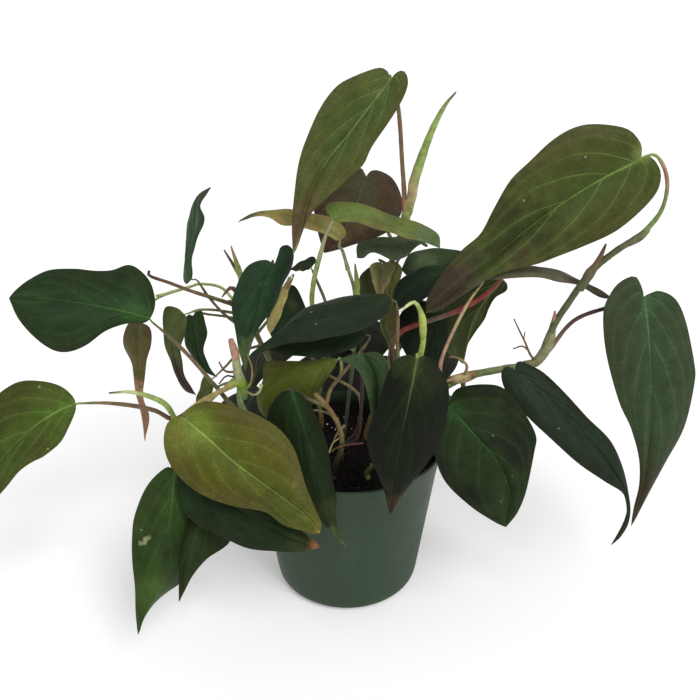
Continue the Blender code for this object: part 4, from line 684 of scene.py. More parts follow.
def lines_of(leaf, lines):
    """Midrib and both margins of any leaf."""
    return placed_lines(leaf, lines) if "rib" in leaf else plain_lines(leaf, lines)


def underside(leaf, rib, left, right):
    """The way that the underside looks at the blade's base."""
    back = unit(np.cross(right[JOINT_LINE] - left[JOINT_LINE], rib[HEEL_POINT] - rib[0]))
    if "rib" in leaf and back[1] < 0:
        back = -back
    return back * leaf.get("joint_side", 1)


def unit(vectors):
    """The vectors at length one."""
    return vectors / np.maximum(np.linalg.norm(vectors, axis=-1, keepdims=True), 1e-9)


def surface_normals(points, up):
    """Upward unit normals of a grid of points. The first and the last row are single points."""
    onward = np.gradient(points, axis=0)
    across = np.gradient(points, axis=1)
    normals = np.cross(onward, across)
    normals[0] = normals[1].mean(axis=0)
    normals[-1] = normals[-2].mean(axis=0)
    normals = unit(normals)
    turned = (normals * up[:, None, :]).sum(axis=-1, keepdims=True) < 0
    return np.where(turned, -normals, normals)


def spacing(points, field, rows, shares):
    """How many millimetres one unit of the field takes at each point of the grid."""
    onward = np.gradient(points, rows, axis=0)
    across = np.gradient(points, shares, axis=1)
    step_on = np.gradient(field, rows, axis=0)
    step_across = np.gradient(field, shares, axis=1)
    a = (onward * onward).sum(axis=-1)
    b = (onward * across).sum(axis=-1)
    c = (across * across).sum(axis=-1)
    area = np.maximum(a * c - b * b, 1e-6)
    slope = (c * step_on**2 - 2 * b * step_on * step_across + a * step_across**2) / area
    spread = np.clip(1 / np.sqrt(np.maximum(slope, 1e-9)), *SPREAD_LIMITS)
    spread[0] = spread[1]
    spread[-1] = spread[-2]
    return spread


def upper_side(leaf, rib, middle, left, right):
    """The way that the upper face looks at each line across the blade."""
    up = unit(np.cross(right - left, np.gradient(middle, axis=0)))
    up[0] = up[1]
    up[-1] = up[-2]
    return up * (-1 if np.dot(up[JOINT_LINE], underside(leaf, rib, left, right)) > 0 else 1)


def vein_field(row, side, half, number):
    """Which side vein each point lies at: a whole number on a vein, and a half between two."""
    shift = VEIN_SHIFT * np.sin(VEIN_TURN * number + half)[None, :]
    start = row + shift - VEIN_RISE * side - VEIN_SWEEP * side**VEIN_POWER
    return np.interp(start, VEIN_STARTS, np.arange(len(VEIN_STARTS)))


def blade_relief(leaf, number, row, side, half, vein, width):
    """How far each point stands out: swollen halves, cushions between the veins and a wavy margin."""
    swell = BLADE_BULGE * width.max() * arch(side)
    quilt = facts_of(leaf)["quilt"] * (1 - np.cos(math.tau * vein)) / 2 * arch(side)
    turn = math.tau * (MARGIN_WAVES * row + WAVE_START * number + WAVE_OFFSET * half[None, :])
    wave = MARGIN_WAVE * np.sin(turn) * side**3
    return (swell + quilt + wave) * np.sin(math.pi * np.clip(row, 0, 1)) ** 0.5


def blade_grid(leaf, number):
    """Fine points of a blade with its upward normals, and what the paint needs at each point."""
    rib, left, right = lines_of(leaf, BLADE_LINES)
    rows = np.linspace(0, 1, BLADE_LINES + 1)
    even = np.linspace(-1, 1, 2 * BLADE_STRIPS + 1)
    half = np.sign(even)
    shares = half * np.abs(even) ** BLADE_SPREAD
    stations = np.linspace(0, 1, len(rib))
    middle = np.column_stack([np.interp(rows**VEIN_LAG, stations, rib[:, i]) for i in range(3)])
    edge = np.where(shares[None, :, None] < 0, left[:, None, :], right[:, None, :])
    side = np.abs(shares)[None, :]
    row = rows[:, None]
    up = upper_side(leaf, rib, middle, left, right)
    width = np.linalg.norm(left - right, axis=1)
    vein = vein_field(row, side, half, number)
    relief = blade_relief(leaf, number, row, side, half, vein, width)
    points = middle[:, None, :] + side[:, :, None] * (edge - middle[:, None, :])
    points = points + relief[:, :, None] * up[:, None, :]
    facts = dict(along=row + 0 * side, share=side + 0 * row, rib=side * (width / 2)[:, None] + 0 * row,
                 vein=vein, spread=spacing(points, vein, rows, shares))
    return points, surface_normals(points, up), facts


def grid_indices(lines, strips):
    """The number of each grid point, where the first and the last row are single points."""
    width = 2 * strips + 1
    ids = np.zeros((lines + 1, width), int)
    ids[1:-1] = 1 + np.arange((lines - 1) * width).reshape(lines - 1, width)
    ids[-1] = 1 + (lines - 1) * width
    return ids


def without_repeats(corners):
    """The corners of a face, each named once."""
    return [corner for place, corner in enumerate(corners) if corner not in corners[:place]]


def skin_faces(ids, under, flip):
    """Faces of the upper skin, the lower skin and the margin between them, and the look of each."""
    faces = []
    looks = []
    for i in range(ids.shape[0] - 1):
        for j in range(ids.shape[1] - 1):
            corners = [int(ids[i, j]), int(ids[i, j + 1]), int(ids[i + 1, j + 1]), int(ids[i + 1, j])]
            corners = without_repeats(corners if flip else corners[::-1])
            faces.append(corners)
            faces.append([corner + under for corner in reversed(corners)])
            looks += [0, 1]
        for j, ahead in ((0, True), (ids.shape[1] - 1, False)):
            low_id, high_id = int(ids[i, j]), int(ids[i + 1, j])
            corners = [low_id, high_id, high_id + under, low_id + under]
            faces.append(corners if ahead == flip else corners[::-1])
            looks.append(1)
    return faces, looks


def blade(leaf, number):
    """One leaf blade: an upper and a lower skin joined along the margin."""
    points, normals, facts = blade_grid(leaf, number)
    ids = grid_indices(BLADE_LINES, BLADE_STRIPS)
    _, first = np.unique(ids, return_index=True)
    half = (BLADE_THICKNESS + (BLADE_EDGE - BLADE_THICKNESS) * facts["share"]**2) / 2
    ridge = MIDRIB_RIDGE * np.exp(-((facts["rib"] / RIDGE_WIDTH) ** 2)) * (1 - RIDGE_TAPER * facts["along"])
    top = points + normals * (half - RIDGE_ABOVE * ridge)[:, :, None]
    low = points - normals * (half + ridge)[:, :, None]
    verts = np.vstack([top.reshape(-1, 3)[first], low.reshape(-1, 3)[first]]) * MM
    across = points[4, -4] - points[4, 4]
    onward = points[8, BLADE_STRIPS] - points[4, BLADE_STRIPS]
    flip = float(np.dot(np.cross(across, onward), normals[4, BLADE_STRIPS])) > 0
    faces, looks = skin_faces(ids, len(first), flip)
    mesh = bpy.data.meshes.new(leaf["name"])
    mesh.from_pydata(verts.tolist(), [], faces)
    mesh.materials.append(upper_look(leaf, points))
    mesh.materials.append(under_look(leaf))
    mesh.polygons.foreach_set("material_index", looks)
    for name, values in facts.items():
        layer = mesh.attributes.new(name, "FLOAT", "POINT")
        flat = values.reshape(-1)[first]
        layer.data.foreach_set("value", np.concatenate([flat, flat]).astype(np.float32))
    mesh.shade_smooth()
    mesh.set_sharp_from_angle(angle=BLADE_CREASE)
    return piece(leaf["name"], mesh)


def piece(name, mesh):
    """An object of the scene that holds the mesh."""
    obj = bpy.data.objects.new("look_" + name, mesh)
    bpy.context.scene.collection.objects.link(obj)
    return obj


def in_place_of(obj, node):
    """The piece rides on the one body and stands for the solid of that name."""
    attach(obj, "root")
    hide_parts(node)
    return obj


def level(amount):
    """The light that a colour level from 0 to 255 stands for."""
    share = amount / 255
    return share / 12.92 if share <= 0.04045 else ((share + 0.055) / 1.055) ** 2.4


def colour(levels):
    """The colour as the shaders take it."""
    return tuple(level(amount) for amount in levels) + (1.0,)


def tube(points, radii, tints):
    """Points, faces and point colours of a closed tube with rounded ends."""
    ways = unit(np.gradient(points, axis=0))
    aside = np.cross(ways[0], TUBE_START)
    verts = [points[0] - ways[0] * radii[0] * TUBE_ROUND]
    paints = [tints[0]]
    for place, (point, way, radius, tint) in enumerate(zip(points, ways, radii, tints)):
        aside = unit(aside - way * np.dot(aside, way))
        upward = np.cross(way, aside)
        for side in range(TUBE_SIDES):
            angle = math.tau * side / TUBE_SIDES
            wobble = TUBE_WOBBLE * math.sin(place * TUBE_TWIST + 2 * angle)
            reach = radius * (1 + wobble + TUBE_RIDGES * math.cos(RIDGE_COUNT * angle))
            verts.append(point + reach * (math.cos(angle) * aside + math.sin(angle) * upward))
            paints.append(tint)
    verts.append(points[-1] + ways[-1] * radii[-1] * TUBE_ROUND)
    paints.append(tints[-1])
    faces = []
    last = len(verts) - 1
    for side in range(TUBE_SIDES):
        after = (side + 1) % TUBE_SIDES
        faces.append([0, 1 + after, 1 + side])
        faces.append([last, last - TUBE_SIDES + side, last - TUBE_SIDES + after])
        for ring in range(len(points) - 1):
            base = 1 + ring * TUBE_SIDES
            ahead = base + TUBE_SIDES
            faces.append([base + side, base + after, ahead + after, ahead + side])
    return np.array(verts), faces, np.array(paints)


def placed(points):
    """Points given plainly, as column, row and depth of the picture, brought into space like the others."""
    return np.array([at(*point) if isinstance(point, tuple) else point for point in points], float)


def strand(points, radii, *colours):
    """A tube along a smooth line: its radii and colours are spread evenly along it."""
    points = placed(points)
    length = np.linalg.norm(np.diff(points, axis=0), axis=1).sum()
    count = max(6, int(length / TUBE_STEP) + 2)
    line = smooth(points, count)
    place = np.linspace(0, 1, count)
    thick = np.interp(place, np.linspace(0, 1, len(radii)), radii)
    tints = np.array([colour(levels)[:3] for levels in colours])
    spread = np.linspace(0, 1, len(tints))
    paint = np.column_stack([np.interp(place, spread, tints[:, i]) for i in range(3)])
    return tube(line, thick, paint)


def merged(name, parts, look):
    """One mesh of several closed bodies, each point with its colour."""
    verts = []
    faces = []
    paints = []
    start = 0
    for points, corners, tints in parts:
        verts.append(points)
        faces += [[start + corner for corner in face] for face in corners]
        paints.append(tints)
        start += len(points)
    mesh = bpy.data.meshes.new(name)
    mesh.from_pydata((np.vstack(verts) * MM).tolist(), [], faces)
    layer = mesh.attributes.new("tint", "FLOAT_COLOR", "POINT")
    paint = np.column_stack([np.vstack(paints), np.ones(start)])
    layer.data.foreach_set("color", paint.astype(np.float32).reshape(-1))
    mesh.materials.append(look)
    mesh.shade_smooth()
    return piece(name, mesh)


def put(tree, value, socket):
    """Links a socket, or sets the plain value."""
    if isinstance(value, bpy.types.NodeSocket):
        tree.links.new(value, socket)
    else:
        socket.default_value = value


def fact(tree, name, output="Fac"):
    """What the mesh says at a point, under this name."""
    node = tree.nodes.new("ShaderNodeAttribute")
    node.attribute_name = name
    return node.outputs[output]


def sums(tree, operation, *values):
    """The values brought together by one operation."""
    node = tree.nodes.new("ShaderNodeMath")
    node.operation = operation
    for value, socket in zip(values, node.inputs):
        put(tree, value, socket)
    return node.outputs["Value"]


def product(tree, first, second):
    """One value times the other."""
    return sums(tree, "MULTIPLY", first, second)


def ranged(tree, value, low, high, out_low=0.0, out_high=1.0):
    """The value brought smoothly from the one range to the other."""
    node = tree.nodes.new("ShaderNodeMapRange")
    node.interpolation_type = "SMOOTHSTEP"
    names = ("Value", "From Min", "From Max", "To Min", "To Max")
    for name, setting in zip(names, (value, low, high, out_low, out_high)):
        put(tree, setting, node.inputs[name])
    return node.outputs["Result"]


def varied(tree, noise_value, low=0.0, high=1.0, span=NOISE_SPAN):
    """The noise brought from what it mostly holds, the span to each side of a half, to another range."""
    return ranged(tree, noise_value, 0.5 - span, 0.5 + span, low, high)


def mixed(tree, share, first, second, blend="MIX"):
    """The second paint laid over the first by the share."""
    node = tree.nodes.new("ShaderNodeMix")
    node.data_type = "RGBA"
    node.blend_type = blend
    put(tree, share, node.inputs[0])
    put(tree, first, node.inputs[6])
    put(tree, second, node.inputs[7])
    return node.outputs[2]


def cloud(tree, scale, detail, stretch=(1.0, 1.0, 1.0)):
    """Noise in the object's own space, where one unit is a metre."""
    place = tree.nodes.new("ShaderNodeTexCoord")
    scaled = tree.nodes.new("ShaderNodeMapping")
    scaled.inputs["Scale"].default_value = stretch
    tree.links.new(place.outputs["Object"], scaled.inputs["Vector"])
    node = tree.nodes.new("ShaderNodeTexNoise")
    node.inputs["Scale"].default_value = scale
    node.inputs["Detail"].default_value = detail
    tree.links.new(scaled.outputs["Vector"], node.inputs["Vector"])
    return node.outputs["Fac"]


def shaded(tree, paint, share):
    """The paint made darker or lighter by a grey value around one."""
    grey = tree.nodes.new("ShaderNodeCombineColor")
    for socket in grey.inputs:
        tree.links.new(share, socket)
    return mixed(tree, 1.0, paint, grey.outputs["Color"], "MULTIPLY")


def raised(tree, shader, height, distance, strength):
    """Fine relief by the height, of which one unit is this many metres."""
    node = tree.nodes.new("ShaderNodeBump")
    node.inputs["Distance"].default_value = distance
    node.inputs["Strength"].default_value = strength
    tree.links.new(height, node.inputs["Height"])
    tree.links.new(node.outputs["Normal"], shader.inputs["Normal"])


def look_of(name, roughness, gloss):
    """A new material with its shader."""
    look = bpy.data.materials.new(name)
    look.use_nodes = True
    tree = look.node_tree
    shader = tree.nodes["Principled BSDF"]
    shader.inputs["Roughness"].default_value = roughness
    shader.inputs["Specular IOR Level"].default_value = gloss
    return look, tree, shader


def soft_sheen(shader, roughness):
    """The faint sheen of fine hairs."""
    shader.inputs["Sheen Weight"].default_value = SHEEN_WEIGHT
    shader.inputs["Sheen Roughness"].default_value = roughness
    shader.inputs["Sheen Tint"].default_value = SHEEN_TINT


def blend_of(first, second, share):
    """The first colour brought this share of the way to the second."""
    return tuple(a + (b - a) * share for a, b in zip(first, second))


def facts_of(leaf):
    """What the leaf is painted by: its own entry, and the plain look for what that leaves out."""
    facts = {**PLAIN_LOOK, **LOOKS.get(leaf["name"], {})}
    base = leaf["colour"]
    facts.setdefault("edge", blend_of(base, BLADE_DARK, 0.3))
    facts.setdefault("halo", blend_of(base, BLADE_GREEN, 0.35))
    facts.setdefault("vein", blend_of(facts["halo"], BLADE_VEIN, 0.4))
    facts.setdefault("under", blend_of(base, BLADE_UNDER, 0.5))
    return facts


def vein_lines(tree, thin, wide):
    """How strongly a point belongs to a side vein, and how far it is from the nearest, in millimetres."""
    steps = sums(tree, "PINGPONG", fact(tree, "vein"), 0.5)
    away = product(tree, steps, fact(tree, "spread"))
    line = ranged(tree, away, thin, wide, 1.0, 0.0)
    near_edge = ranged(tree, fact(tree, "share"), 0.1, 0.95, 1.0, 0.1)
    near_tip = ranged(tree, fact(tree, "vein"), 6.3, 8.0, 1.0, 0.3)
    return product(tree, line, product(tree, near_edge, near_tip)), away


def rib_line(tree, end):
    """How strongly a point belongs to the midrib, which gets thinner to the tip, down to the end width."""
    along = fact(tree, "along")
    inner = ranged(tree, along, -0.1, 0.5, 0.4, 0.05)
    outer = ranged(tree, along, -0.1, 0.65, 1.15, end)
    return ranged(tree, fact(tree, "rib"), inner, outer, 1.0, 0.0)


def seen_at(points):
    """The column and row of the picture where each point is seen."""
    away = points - np.array([EYE_SIDE, -EYE_FRONT, EYE_HEIGHT])
    ahead = away[..., 1] * math.cos(EYE_PITCH) - away[..., 2] * math.sin(EYE_PITCH)
    rise = away[..., 1] * math.sin(EYE_PITCH) + away[..., 2] * math.cos(EYE_PITCH)
    return PICTURE_MIDDLE + EYE_FOCAL * np.stack([away[..., 0] / ahead, -rise / ahead], axis=-1)


def patched(tree, paint, points, patches, mottle):
    """The paint with soft patches: each a column, a row, a radius in millimetres, a colour and a strength."""
    flat = points.reshape(-1, 3)
    seen = seen_at(flat)
    place = tree.nodes.new("ShaderNodeTexCoord")
    for col, row, radius, tint, strength in patches:
        middle = flat[np.argmin(np.linalg.norm(seen - (col, row), axis=1))]
        away = tree.nodes.new("ShaderNodeVectorMath")
        away.operation = "DISTANCE"
        tree.links.new(place.outputs["Object"], away.inputs[0])
        away.inputs[1].default_value = middle * MM
        rough = product(tree, away.outputs["Value"], varied(tree, mottle, 0.75, 1.3))
        share = ranged(tree, rough, PATCH_CORE * radius * MM, radius * MM, strength, 0.0)
        paint = mixed(tree, share, paint, colour(tint))
    return paint


def ground(tree, leaf, facts, clouds, rib):
    """The blade's own colour, turning to that of the margin, with the glow beside the midrib."""
    share = sums(tree, "ADD", fact(tree, "share"), varied(tree, clouds, -0.25, 0.25, WIDE_SPAN))
    paint = mixed(tree, ranged(tree, share, 0.4, 1.05), colour(leaf["colour"]), colour(facts["edge"]))
    end = facts["halo_to"]
    beside = ranged(tree, rib, 0.5, facts["halo_width"], 0.9, 0.0)
    onward = ranged(tree, fact(tree, "along"), 0.1 * end, end, 1.0, 0.3 * end)
    return mixed(tree, product(tree, beside, onward), paint, colour(facts["halo"]))


def pale_beside(tree, paint, facts, rib, away):
    """The paint with its paler bands beside the midrib and the side veins."""
    onward = ranged(tree, fact(tree, "along"), 0.0, 0.45, facts["rib"], 0.0)
    near = product(tree, ranged(tree, rib, 0.4, 3.6, 0.5, 0.0), onward)
    paint = mixed(tree, near, paint, colour(blend_of(facts["halo"], facts["vein"], 0.6)))
    beside = ranged(tree, away, 0.0, 3.2, 0.3 * facts["veins"], 0.0)
    return mixed(tree, beside, paint, colour(blend_of(facts["halo"], facts["vein"], 0.3)))


def tipped(tree, paint, facts, mottle):
    """The paint with the colour of the blade's end, where it has one of its own."""
    if "tip" not in facts:
        return paint
    along = sums(tree, "ADD", fact(tree, "along"), varied(tree, mottle, -0.05, 0.05, WIDE_SPAN))
    start = facts["tip_from"]
    return mixed(tree, ranged(tree, along, start - 0.08, start + 0.07), paint, colour(facts["tip"]))


def veined(tree, paint, facts, lines):
    """The paint with the side veins and with the midrib, which fades to the tip."""
    paint = mixed(tree, product(tree, lines, 0.6 * facts["veins"]), paint, colour(facts["vein"]))
    fading = ranged(tree, fact(tree, "along"), 0.05, 0.75, facts["rib"], facts["rib"] * facts["fade"])
    seen = product(tree, rib_line(tree, facts["rib_end"]), fading)
    return mixed(tree, seen, paint, colour(facts["vein"]))


def velvet(tree, paint, mottle, grain):
    """The paint with its nap: finely lighter and darker, greener and browner."""
    paint = shaded(tree, paint, varied(tree, mottle, 0.84, 1.16, WIDE_SPAN))
    paint = shaded(tree, paint, varied(tree, grain, 0.87, 1.13))
    fleck = varied(tree, cloud(tree, *BLADE_FLECKS), span=FLECK_SPAN)
    return mixed(tree, 1.0, paint, mixed(tree, fleck, FLECK_GREEN, FLECK_BROWN), "MULTIPLY")


def upper_look(leaf, points):
    """The velvet upper face: dark, with a green glow at the midrib, side veins and a darker margin."""
    facts = facts_of(leaf)
    look, tree, shader = look_of(leaf["name"] + "_upper", roughness=0.5, gloss=0.1)
    clouds = cloud(tree, *BLADE_CLOUDS)
    mottle = cloud(tree, *BLADE_MOTTLE)
    grain = cloud(tree, *BLADE_GRAIN)
    rib = sums(tree, "ADD", fact(tree, "rib"), varied(tree, clouds, -2.0, 2.0, WIDE_SPAN))
    lines, away = vein_lines(tree, 0.05, 0.5)
    paint = ground(tree, leaf, facts, clouds, rib)
    paint = patched(tree, paint, points, facts["patches"], mottle)
    paint = pale_beside(tree, paint, facts, rib, away)
    paint = tipped(tree, paint, facts, mottle)
    paint = veined(tree, paint, facts, lines)
    paint = velvet(tree, paint, mottle, grain)
    tree.links.new(paint, shader.inputs["Base Color"])
    height = sums(tree, "SUBTRACT", product(tree, grain, 0.55), product(tree, lines, 0.4))
    raised(tree, shader, height, distance=0.00035, strength=0.8)
    soft_sheen(shader, roughness=0.42)
    return look


def under_look(leaf):
    """The duller, redder underside, where the veins stand out paler."""
    base = facts_of(leaf)["under"]
    look, tree, shader = look_of(leaf["name"] + "_under", roughness=0.6, gloss=0.15)
    mottle = cloud(tree, *UNDER_MOTTLE)
    grain = cloud(tree, *UNDER_GRAIN)
    lines, _ = vein_lines(tree, 0.15, 0.8)
    paint = mixed(tree, varied(tree, mottle), colour(base), colour(blend_of(base, leaf["colour"], 0.5)))
    paint = mixed(tree, product(tree, lines, 0.5), paint, colour(blend_of(base, BLADE_VEIN, 0.45)))
    paint = mixed(tree, rib_line(tree, PLAIN_LOOK["rib_end"]), paint, colour(blend_of(base, BLADE_VEIN, 0.6)))
    paint = shaded(tree, paint, varied(tree, grain, 0.86, 1.14))
    tree.links.new(paint, shader.inputs["Base Color"])
    raised(tree, shader, sums(tree, "ADD", lines, grain), distance=0.0003, strength=0.7)
    soft_sheen(shader, roughness=0.5)
    return look


def stem_look():
    """Stalks, stems and roots: their own tint, speckled and finely ridged."""
    look, tree, shader = look_of("stalks", roughness=0.42, gloss=0.3)
    mottle = cloud(tree, *STALK_MOTTLE)
    grain = cloud(tree, *STALK_GRAIN)
    paint = shaded(tree, fact(tree, "tint", "Color"), varied(tree, mottle, 0.78, 1.2))
    paint = shaded(tree, paint, varied(tree, grain, 0.82, 1.16))
    tree.links.new(paint, shader.inputs["Base Color"])
    raised(tree, shader, sums(tree, "ADD", mottle, grain), distance=0.0005, strength=0.7)
    return look


def pot_look():
    """Dull green plastic with a little dust and faint streaks, and painted shade on the inner wall."""
    look, tree, shader = look_of("pot_plastic", roughness=0.5, gloss=0.25)
    clouds = cloud(tree, *POT_CLOUDS)
    streaks = cloud(tree, *POT_STREAKS, STREAK_STRETCH)
    grain = cloud(tree, *POT_GRAIN)
    paint = mixed(tree, ranged(tree, clouds, 0.35, 0.7), colour(POT_GREEN), colour(POT_DUSTY))
    paint = mixed(tree, ranged(tree, streaks, 0.56, 0.74, 0.0, 0.15), paint, colour(POT_DUST))
    paint = shaded(tree, paint, varied(tree, grain, 0.88, 1.12))
    # Painted shade: the inner wall turns to the soil's dark colour, less and less up to the lip
    inner_shade = product(tree, fact(tree, "inner_shade"), ranged(tree, streaks, 0.3, 0.6, 0.75, 1.0))
    paint = mixed(tree, inner_shade, paint, colour(SOIL_DARK))
    tree.links.new(paint, shader.inputs["Base Color"])
    tree.links.new(varied(tree, clouds, 0.42, 0.6), shader.inputs["Roughness"])
    raised(tree, shader, grain, distance=0.0001, strength=0.6)
    return look


def soil_look():
    """Dark damp potting mix."""
    look, tree, shader = look_of("potting_mix", roughness=0.9, gloss=0.2)
    mottle = cloud(tree, *SOIL_MOTTLE)
    grain = cloud(tree, *SOIL_GRAIN)
    paint = shaded(tree, fact(tree, "tint", "Color"), varied(tree, mottle, 0.6, 1.35))
    tree.links.new(paint, shader.inputs["Base Color"])
    raised(tree, shader, sums(tree, "ADD", mottle, grain), distance=0.0012, strength=0.9)
    return look


def wall_radius(height):
    """Outer radius of the pot's straight side at this height."""
    top = POT_RIM_RADIUS - POT_LIP_FLARE
    return POT_BASE_RADIUS + (top - POT_BASE_RADIUS) * height / POT_HEIGHT


def rounded(profile, cut):
    """The outline with its corners rounded."""
    line = [profile[0]]
    for before, corner, after in zip(profile, profile[1:], profile[2:]):
        corner = np.array(corner)
        ends = []
        for other in (before, after):
            way = np.array(other) - corner
            ends.append(corner + way * min(cut / np.linalg.norm(way), CORNER_LIMIT))
        for share in np.linspace(0, 1, CORNER_POINTS):
            point = (1 - share) ** 2 * ends[0] + 2 * share * (1 - share) * corner + share**2 * ends[1]
            line.append(tuple(point))
    return line + [profile[-1]]


def turned(name, profile, sides):
    """A closed body turned about the upright axis. The outline starts and ends on the axis."""
    shape = bmesh.new()
    ends = [shape.verts.new(Vector((0, 0, profile[place][1])) * MM) for place in (0, -1)]
    rings = []
    for radius, height in profile[1:-1]:
        turns = [math.tau * side / sides for side in range(sides)]
        places = [Vector((radius * math.cos(turn), radius * math.sin(turn), height)) * MM for turn in turns]
        rings.append([shape.verts.new(place) for place in places])
    for side in range(sides):
        after = (side + 1) % sides
        shape.faces.new((ends[0], rings[0][side], rings[0][after]))
        shape.faces.new((ends[1], rings[-1][after], rings[-1][side]))
        for low, high in zip(rings, rings[1:]):
            shape.faces.new((low[side], high[side], high[after], low[after]))
    bmesh.ops.recalc_face_normals(shape, faces=shape.faces)
    mesh = bpy.data.meshes.new(name)
    shape.to_mesh(mesh)
    shape.free()
    return piece(name, mesh)


def drilled(obj, tools):
    """Cuts the tools out of the piece and removes them."""
    for tool in tools:
        cut = obj.modifiers.new(tool.name, "BOOLEAN")
        cut.operation = "DIFFERENCE"
        cut.solver = "EXACT"
        cut.object = tool
    graph = bpy.context.evaluated_depsgraph_get()
    mesh = bpy.data.meshes.new_from_object(obj.evaluated_get(graph))
    obj.modifiers.clear()
    obj.data = mesh
    for tool in tools:
        bpy.data.objects.remove(tool)


def inner_shade_at(place):
    """How much painted shade darkens this point: the inner wall only, less and less up to the lip."""
    reach = math.hypot(place.x, place.y)
    if place.z < 1 or reach > wall_radius(place.z) - 0.4 * POT_WALL:
        return 0.0
    return min(1.0, max(0.0, (POT_HEIGHT - 1.0 - place.z) / INNER_SHADE_FADE))


def pot_section():
    """Half section of the pot, from the middle of its underside round the lip to the middle of its floor."""
    lip_low = POT_HEIGHT - POT_LIP_DEPTH
    inner_floor = wall_radius(POT_FLOOR) - POT_WALL
    return [
        (0.0, 0.0),
        (POT_BASE_RADIUS - POT_FOOT_ROUND, 0.0),
        (POT_BASE_RADIUS - 2.2, 0.9),
        (POT_BASE_RADIUS + 0.1, 3.4),
        (wall_radius(POT_FOOT_ROUND + 2), POT_FOOT_ROUND + 2),
        (wall_radius(lip_low - 9), lip_low - 9),
        (wall_radius(lip_low - 2) + POT_LIP_FLARE * 0.2, lip_low - 2),
        (wall_radius(lip_low + 3) + POT_LIP_FLARE * 0.65, lip_low + 3),
        (POT_RIM_RADIUS - 0.3, POT_HEIGHT - 1.6),
        (POT_RIM_RADIUS, POT_HEIGHT - 0.6),
        (POT_RIM_RADIUS - 0.8, POT_HEIGHT),
        (POT_RIM_RADIUS - POT_WALL - 0.4, POT_HEIGHT - 0.5),
        (wall_radius(lip_low) - POT_WALL + 0.3, lip_low),
        (inner_floor, POT_FLOOR + 3.0),
        (inner_floor - 3.0, POT_FLOOR),
        (0.0, POT_FLOOR),
    ]


def make_drains():
    """The pins that are cut out of the floor, in a ring."""
    low, high = -2, POT_FLOOR + 1
    ring = DRAIN_RING_RADIUS * MM
    drains = []
    for number in range(DRAIN_HOLES):
        angle = math.tau * (number + 0.5) / DRAIN_HOLES
        drain = turned("drain", [(0, low), (DRAIN_RADIUS, low), (DRAIN_RADIUS, high), (0, high)], DRAIN_SIDES)
        drain.location = (ring * math.cos(angle), ring * math.sin(angle), 0)
        drains.append(drain)
    return drains


def make_pot():
    """The pot with its drain holes and the painted shade on its inside."""
    pot = turned("pot", rounded(pot_section(), POT_CORNER), POT_SIDES)
    drilled(pot, make_drains())
    pot.data.materials.clear()
    pot.data.materials.append(pot_look())
    # The painted shade of the inner wall, kept at each point
    inner_shades = pot.data.attributes.new("inner_shade", "FLOAT", "POINT")
    inner_shades.data.foreach_set("value", [inner_shade_at(vert.co / MM) for vert in pot.data.vertices])
    pot.data.shade_smooth()
    pot.data.set_sharp_from_angle(angle=HARD_EDGE)
    return in_place_of(pot, "pot")


def soil_height(x, y):
    """Height of the lumpy soil surface."""
    lumps = math.sin(x * 0.31 + 1.3) * math.cos(y * 0.27 - 0.4) + 0.6 * math.sin(x * 0.12 - y * 0.52)
    fall = 1 - (x * x + y * y) / (POT_RIM_RADIUS - 4) ** 2
    return SOIL_TOP - 1.5 + SOIL_MOUND * max(fall, 0) + SOIL_LUMP * lumps


def soil_surface(x, y):
    """The soil's height with its small clods."""
    fine = noise.noise(Vector((x * 0.3, y * 0.3, 1.7))) + 0.5 * noise.noise(Vector((x * 0.8, y * 0.8, 5.1)))
    return soil_height(x, y) + SOIL_CLOD * fine


def soil_rings():
    """Radius and height of the rings that close the body of soil below its surface."""
    rim = wall_radius(SOIL_TOP - SOIL_SIDE) - POT_WALL - SOIL_GAP
    low_rim = wall_radius(POT_FLOOR + SOIL_SIDE) - POT_WALL - SOIL_GAP - 0.3
    below = [
        (rim - 0.4, SOIL_TOP - 7),
        (low_rim, POT_FLOOR + SOIL_SIDE),
        (low_rim - 3.5, POT_FLOOR + SOIL_GAP),
    ]
    return rim, below


def soil_body():
    """Points, faces and colours of the filled body of soil."""
    rim, below = soil_rings()
    verts = [spot(0, 0, soil_surface(0, 0))]
    turns = [math.tau * side / SOIL_SIDES for side in range(SOIL_SIDES)]
    for ring in range(1, SOIL_RINGS + 1):
        reach = rim * ring / SOIL_RINGS
        sink = SOIL_EDGE_FALL * max(0.0, reach - rim + SOIL_EDGE)
        for turn in turns:
            x, y = reach * math.cos(turn), reach * math.sin(turn)
            verts.append(spot(x, y, soil_surface(x, y) - sink))
    for radius, height in below:
        verts += [spot(radius * math.cos(turn), radius * math.sin(turn), height) for turn in turns]
    verts.append(spot(0, 0, POT_FLOOR + SOIL_GAP))
    faces = []
    last = len(verts) - 1
    loops = SOIL_RINGS + len(below)
    for side in range(SOIL_SIDES):
        after = (side + 1) % SOIL_SIDES
        faces.append([0, 1 + side, 1 + after])
        faces.append([last, last - SOIL_SIDES + after, last - SOIL_SIDES + side])
        for loop in range(loops - 1):
            base = 1 + loop * SOIL_SIDES
            ahead = base + SOIL_SIDES
            faces.append([base + side, ahead + side, ahead + after, base + after])
    return np.array(verts), faces, tinted(SOIL_DARK, len(verts))


def tinted(levels, count):
    """The same colour for each of this many points."""
    return np.tile(np.array(colour(levels)[:3]), (count, 1))


def crumb(place, size, stretch, chance, tint):
    """A rough grain of soil, bark or white mineral."""
    shape = bmesh.new()
    bmesh.ops.create_icosphere(shape, subdivisions=1, radius=1.0)
    turn = Euler(tuple(chance.uniform(0, math.tau, 3))).to_matrix()
    verts = []
    for vert in shape.verts:
        grain = Vector((vert.co.x * stretch, vert.co.y, vert.co.z * CRUMB_FLATNESS))
        verts.append(np.array(turn @ (grain * size * chance.uniform(*CRUMB_ROUGHNESS))) + place)
    faces = [[vert.index for vert in face.verts] for face in shape.faces]
    shape.free()
    return np.array(verts), faces, tinted(tint, len(verts))


